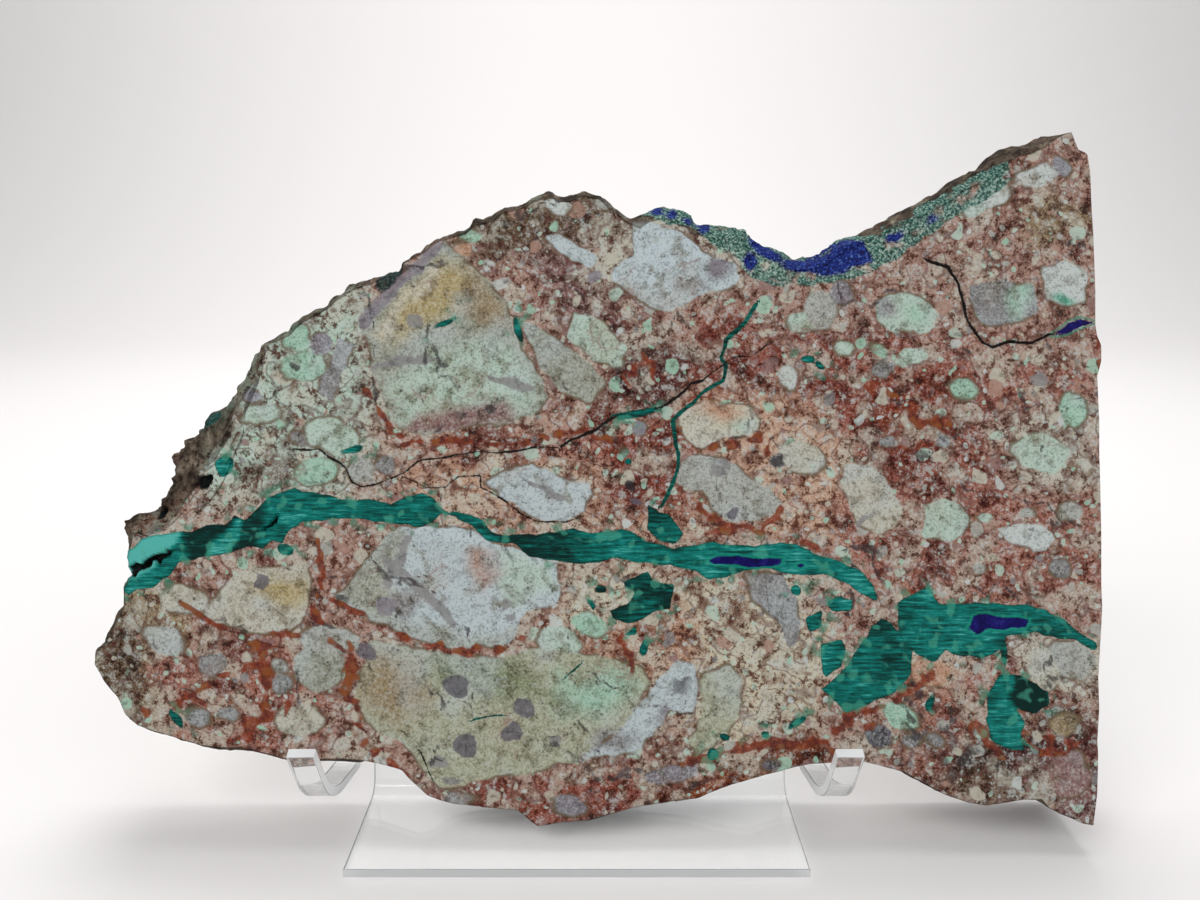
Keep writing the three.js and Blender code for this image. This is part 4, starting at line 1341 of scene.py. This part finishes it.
def sheet_strip(faces, columns):
    """A strip of sheet along its line, in columns between the x places, with its two side edges."""
    left, right = faces
    low, high = columns[0], columns[-1]
    patches = []
    for start, end in zip(columns, columns[1:]):
        patches.append(patch((start, left[:-1]), (end, left[:-1]), (end, left[1:]), (start, left[1:])))
        patches.append(patch((start, right[:-1]), (start, right[1:]), (end, right[1:]), (end, right[:-1])))
    patches.append(patch((low, left[:-1]), (low, left[1:]), (low, right[1:]), (low, right[:-1])))
    patches.append(patch((high, left[:-1]), (high, right[:-1]), (high, right[1:]), (high, left[1:])))
    return patches


def start_edge(faces, low, high):
    """The sheet's cut edge across the start of a line."""
    left, right = faces
    return patch((low, left[0]), (low, right[0]), (high, right[0]), (high, left[0]))


def end_edge(faces, low, high):
    """The sheet's cut edge across the end of a line."""
    left, right = faces
    return patch((low, left[-1]), (high, left[-1]), (high, right[-1]), (low, right[-1]))


def panel_at(z):
    """Point of the back panel's middle at a height: the panel lies behind the slab and leans with it."""
    depth = SLAB_THICKNESS + FIT_GAP + SHEET / 2.0
    start_y = FACE_REFERENCE_Y + depth * math.cos(LEAN)
    start_z = FACE_REFERENCE_Z - depth * math.sin(LEAN)
    return (start_y + (z - start_z) * math.tan(LEAN), z)


def crossing(first, first_run, second, second_run):
    """Where two lines in (y, z) cross, each given by a point and a direction."""
    gap_y, gap_z = second[0] - first[0], second[1] - first[1]
    spread = first_run[0] * second_run[1] - first_run[1] * second_run[0]
    share = (gap_y * second_run[1] - gap_z * second_run[0]) / spread
    return (first[0] + first_run[0] * share, first[1] + first_run[1] * share)


def easel_patches():
    """The whole easel as patches: plate, leaning panel with rear leg and foot, and the two hooks."""
    middle = SHEET / 2.0
    foot = [(FOOT_Y, middle), (FOOT_Y + FOOT_LENGTH, middle)]
    base = bent_line([(PLATE_FRONT_Y, middle), panel_at(middle), panel_at(SLOT_TOP_Z)], [SMALL_BEND])
    back = bent_line([panel_at(SLOT_TOP_Z), panel_at(PANEL_APEX_Z), *foot], [TOP_BEND, SMALL_BEND])
    drop = LEDGE_BELOW_REFERENCE + middle
    ledge = (FACE_REFERENCE_Y - drop * math.sin(LEAN), FACE_REFERENCE_Z - drop * math.cos(LEAN))
    ledge_run = (math.cos(LEAN), -math.sin(LEAN))
    lip_run = (math.sin(LIP_SLANT), -math.cos(LIP_SLANT))
    ledge_corner = crossing(ledge, ledge_run, panel_at(0.0), (math.sin(LEAN), math.cos(LEAN)))
    lip_corner = crossing(ledge, ledge_run, LIP_TOP, lip_run)
    hook = bent_line([LIP_TOP, lip_corner, ledge_corner, panel_at(SLOT_TOP_Z)], [LIP_BEND, LEDGE_BEND])
    plate_faces, back_faces, hook_faces = sheet_faces(base), sheet_faces(back), sheet_faces(hook)
    outer, inner, plate = STRIP_OUTER_X, STRIP_OUTER_X - STRIP_WIDTH, PLATE_HALF_WIDTH
    columns = [-outer, -inner, -plate, plate, inner, outer]
    patches = sheet_strip(plate_faces, [-plate, plate]) + [start_edge(plate_faces, -plate, plate)]
    patches += sheet_strip(back_faces, columns)
    patches += [end_edge(back_faces, low, high) for low, high in zip(columns, columns[1:])]
    for low, high in ((-outer, -inner), (inner, outer)):
        patches += sheet_strip(hook_faces, [low, high]) + [start_edge(hook_faces, low, high)]
    patches += [start_edge(back_faces, low, high) for low, high in ((-inner, -plate), (plate, inner))]
    return np.concatenate(patches)


def acrylic_material():
    """Clear acrylic sheet: polished faces with faint wiping marks, and pale satin cut edges."""
    acrylic = Recipe("clear_acrylic")
    cut = acrylic.value("cut")
    acrylic.shader.inputs["Base Color"].default_value = (0.975, 0.99, 0.995, 1.0)
    acrylic.shader.inputs["IOR"].default_value = 1.49
    acrylic.feed(acrylic.shader.inputs["Transmission Weight"], acrylic.spread(cut, 1.0, 0.45))
    wiped = acrylic.noise(1.0, 3.0, 0.6, acrylic.stretched((60.0, 400.0, 400.0)))
    wiped = acrylic.math("ADD", acrylic.spread(wiped, 0.01, 0.05), acrylic.scaled(cut, 0.2))
    acrylic.feed(acrylic.shader.inputs["Roughness"], wiped)
    return acrylic.material


def cut_sides(corners):
    """1 for each patch that is one sheet thick across, which is a cut edge, and 0 for the sheet's faces."""
    sides = np.linalg.norm(corners - np.roll(corners, -1, axis=1), axis=2)
    return np.any(np.abs(sides - SHEET / 1000.0) < 2e-5, axis=1)


def make_easel():
    """The easel in place of its plain solid, with rounded polished edges."""
    corners = easel_patches() / 1000.0
    flat = np.round(corners.reshape(-1, 3), 6)
    points, index = np.unique(flat, axis=0, return_inverse=True)
    quads = index.reshape(-1, 4)
    mesh = mesh_from("easel_sheet", points, quads, np.zeros((0, 3), dtype=int))
    cut = mesh.attributes.new("cut", "FLOAT", "FACE")
    cut.data.foreach_set("value", cut_sides(corners).astype(np.float32))
    easel = put_in_scene("easel_sheet", mesh, acrylic_material())
    rounding = easel.modifiers.new("polished edges", "BEVEL")
    rounding.width = POLISHED_EDGE / 1000.0
    rounding.segments = 2
    rounding.limit_method = "ANGLE"
    rounding.angle_limit = math.radians(50.0)
    rounding.harden_normals = True
    # Clear sheet lets nearly all light through, so it casts no shadow
    easel.visible_shadow = False
    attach(easel, "root")
    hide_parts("easel")


def make_floor():
    """A plain pale floor that sweeps up behind."""
    half_width = 3.2
    front = -3.0
    sweep_start = 1.2
    rise = 1.1
    top = 3.0
    gap = 0.0004
    steps = np.linspace(0.0, math.pi / 2.0, 25)
    profile = [(front, 0.0)]
    profile += [(sweep_start + rise * math.sin(a), rise * (1.0 - math.cos(a))) for a in steps]
    profile.append((sweep_start + rise, top))
    profile = np.array(profile)
    sides = np.array([-half_width, half_width])
    points = np.array([[x, y, z - gap] for y, z in profile for x in sides])
    rows = np.arange(len(profile) - 1) * 2
    quads = np.column_stack([rows, rows + 1, rows + 3, rows + 2])
    mesh = mesh_from("floor", points, quads, np.zeros((0, 3), dtype=int))
    paint = Recipe("floor_paint")
    paint.shader.inputs["Base Color"].default_value = (0.82, 0.8, 0.79, 1.0)
    paint.shader.inputs["Roughness"].default_value = 0.85
    floor = put_in_scene("floor", mesh, paint.material)


def add_area_light(name, place, aim, size, watts, colour):
    """A square soft light at a place, turned to its aim."""
    lamp = bpy.data.lights.new(name, "AREA")
    lamp.shape = "SQUARE"
    lamp.size = size
    lamp.energy = watts
    lamp.color = colour
    light = bpy.data.objects.new(name, lamp)
    bpy.context.scene.collection.objects.link(light)
    run = np.array(aim) - np.array(place)
    light.location = place
    flat = math.hypot(run[0], run[1])
    light.rotation_euler = (math.pi / 2.0 + math.atan2(run[2], flat), 0.0, math.atan2(-run[0], run[1]))


def make_light():
    """Soft studio light from above and from both sides of the front, and a lamp for the backdrop."""
    add_area_light("key", (-0.7, -0.9, 1.2), (0.0, 0.0, 0.1), 0.9, 10.0, (1.0, 0.98, 0.96))
    add_area_light("fill", (0.9, -0.9, 0.8), (0.0, 0.0, 0.1), 0.9, 5.0, (0.96, 0.98, 1.0))
    add_area_light("top", (0.0, 0.5, 1.3), (0.0, 0.05, 0.0), 1.0, 8.0, (1.0, 1.0, 1.0))
    add_area_light("backdrop", (0.0, 0.7, 1.9), (0.0, 2.4, 0.9), 1.2, 26.0, (1.0, 0.99, 0.98))
    world = bpy.data.worlds.new("studio")
    world.use_nodes = True
    world.node_tree.nodes["Background"].inputs["Color"].default_value = (0.9, 0.92, 0.95, 1.0)
    world.node_tree.nodes["Background"].inputs["Strength"].default_value = 0.42
    bpy.context.scene.world = world
    bpy.context.scene.view_settings.view_transform = "Standard"


def make_camera():
    """Camera at the picture's place: square on to the leaning face."""
    focal_points = 901.0
    picture_width = 1200.0
    centre = np.array([[600.0, 450.0]])
    distance = focal_points * MM_PER_POINT
    place = on_slab(centre, np.array([-distance]))[0]
    lens = bpy.data.cameras.new("camera")
    lens.sensor_width = 36.0
    lens.lens = focal_points / picture_width * lens.sensor_width
    lens.clip_start = 0.01
    camera = bpy.data.objects.new("camera", lens)
    camera.location = place
    camera.rotation_euler = (math.pi / 2.0 - LEAN, 0.0, 0.0)
    bpy.context.scene.collection.objects.link(camera)
    bpy.context.scene.camera = camera


make_camera()
make_floor()
make_light()
make_slab()
make_easel()
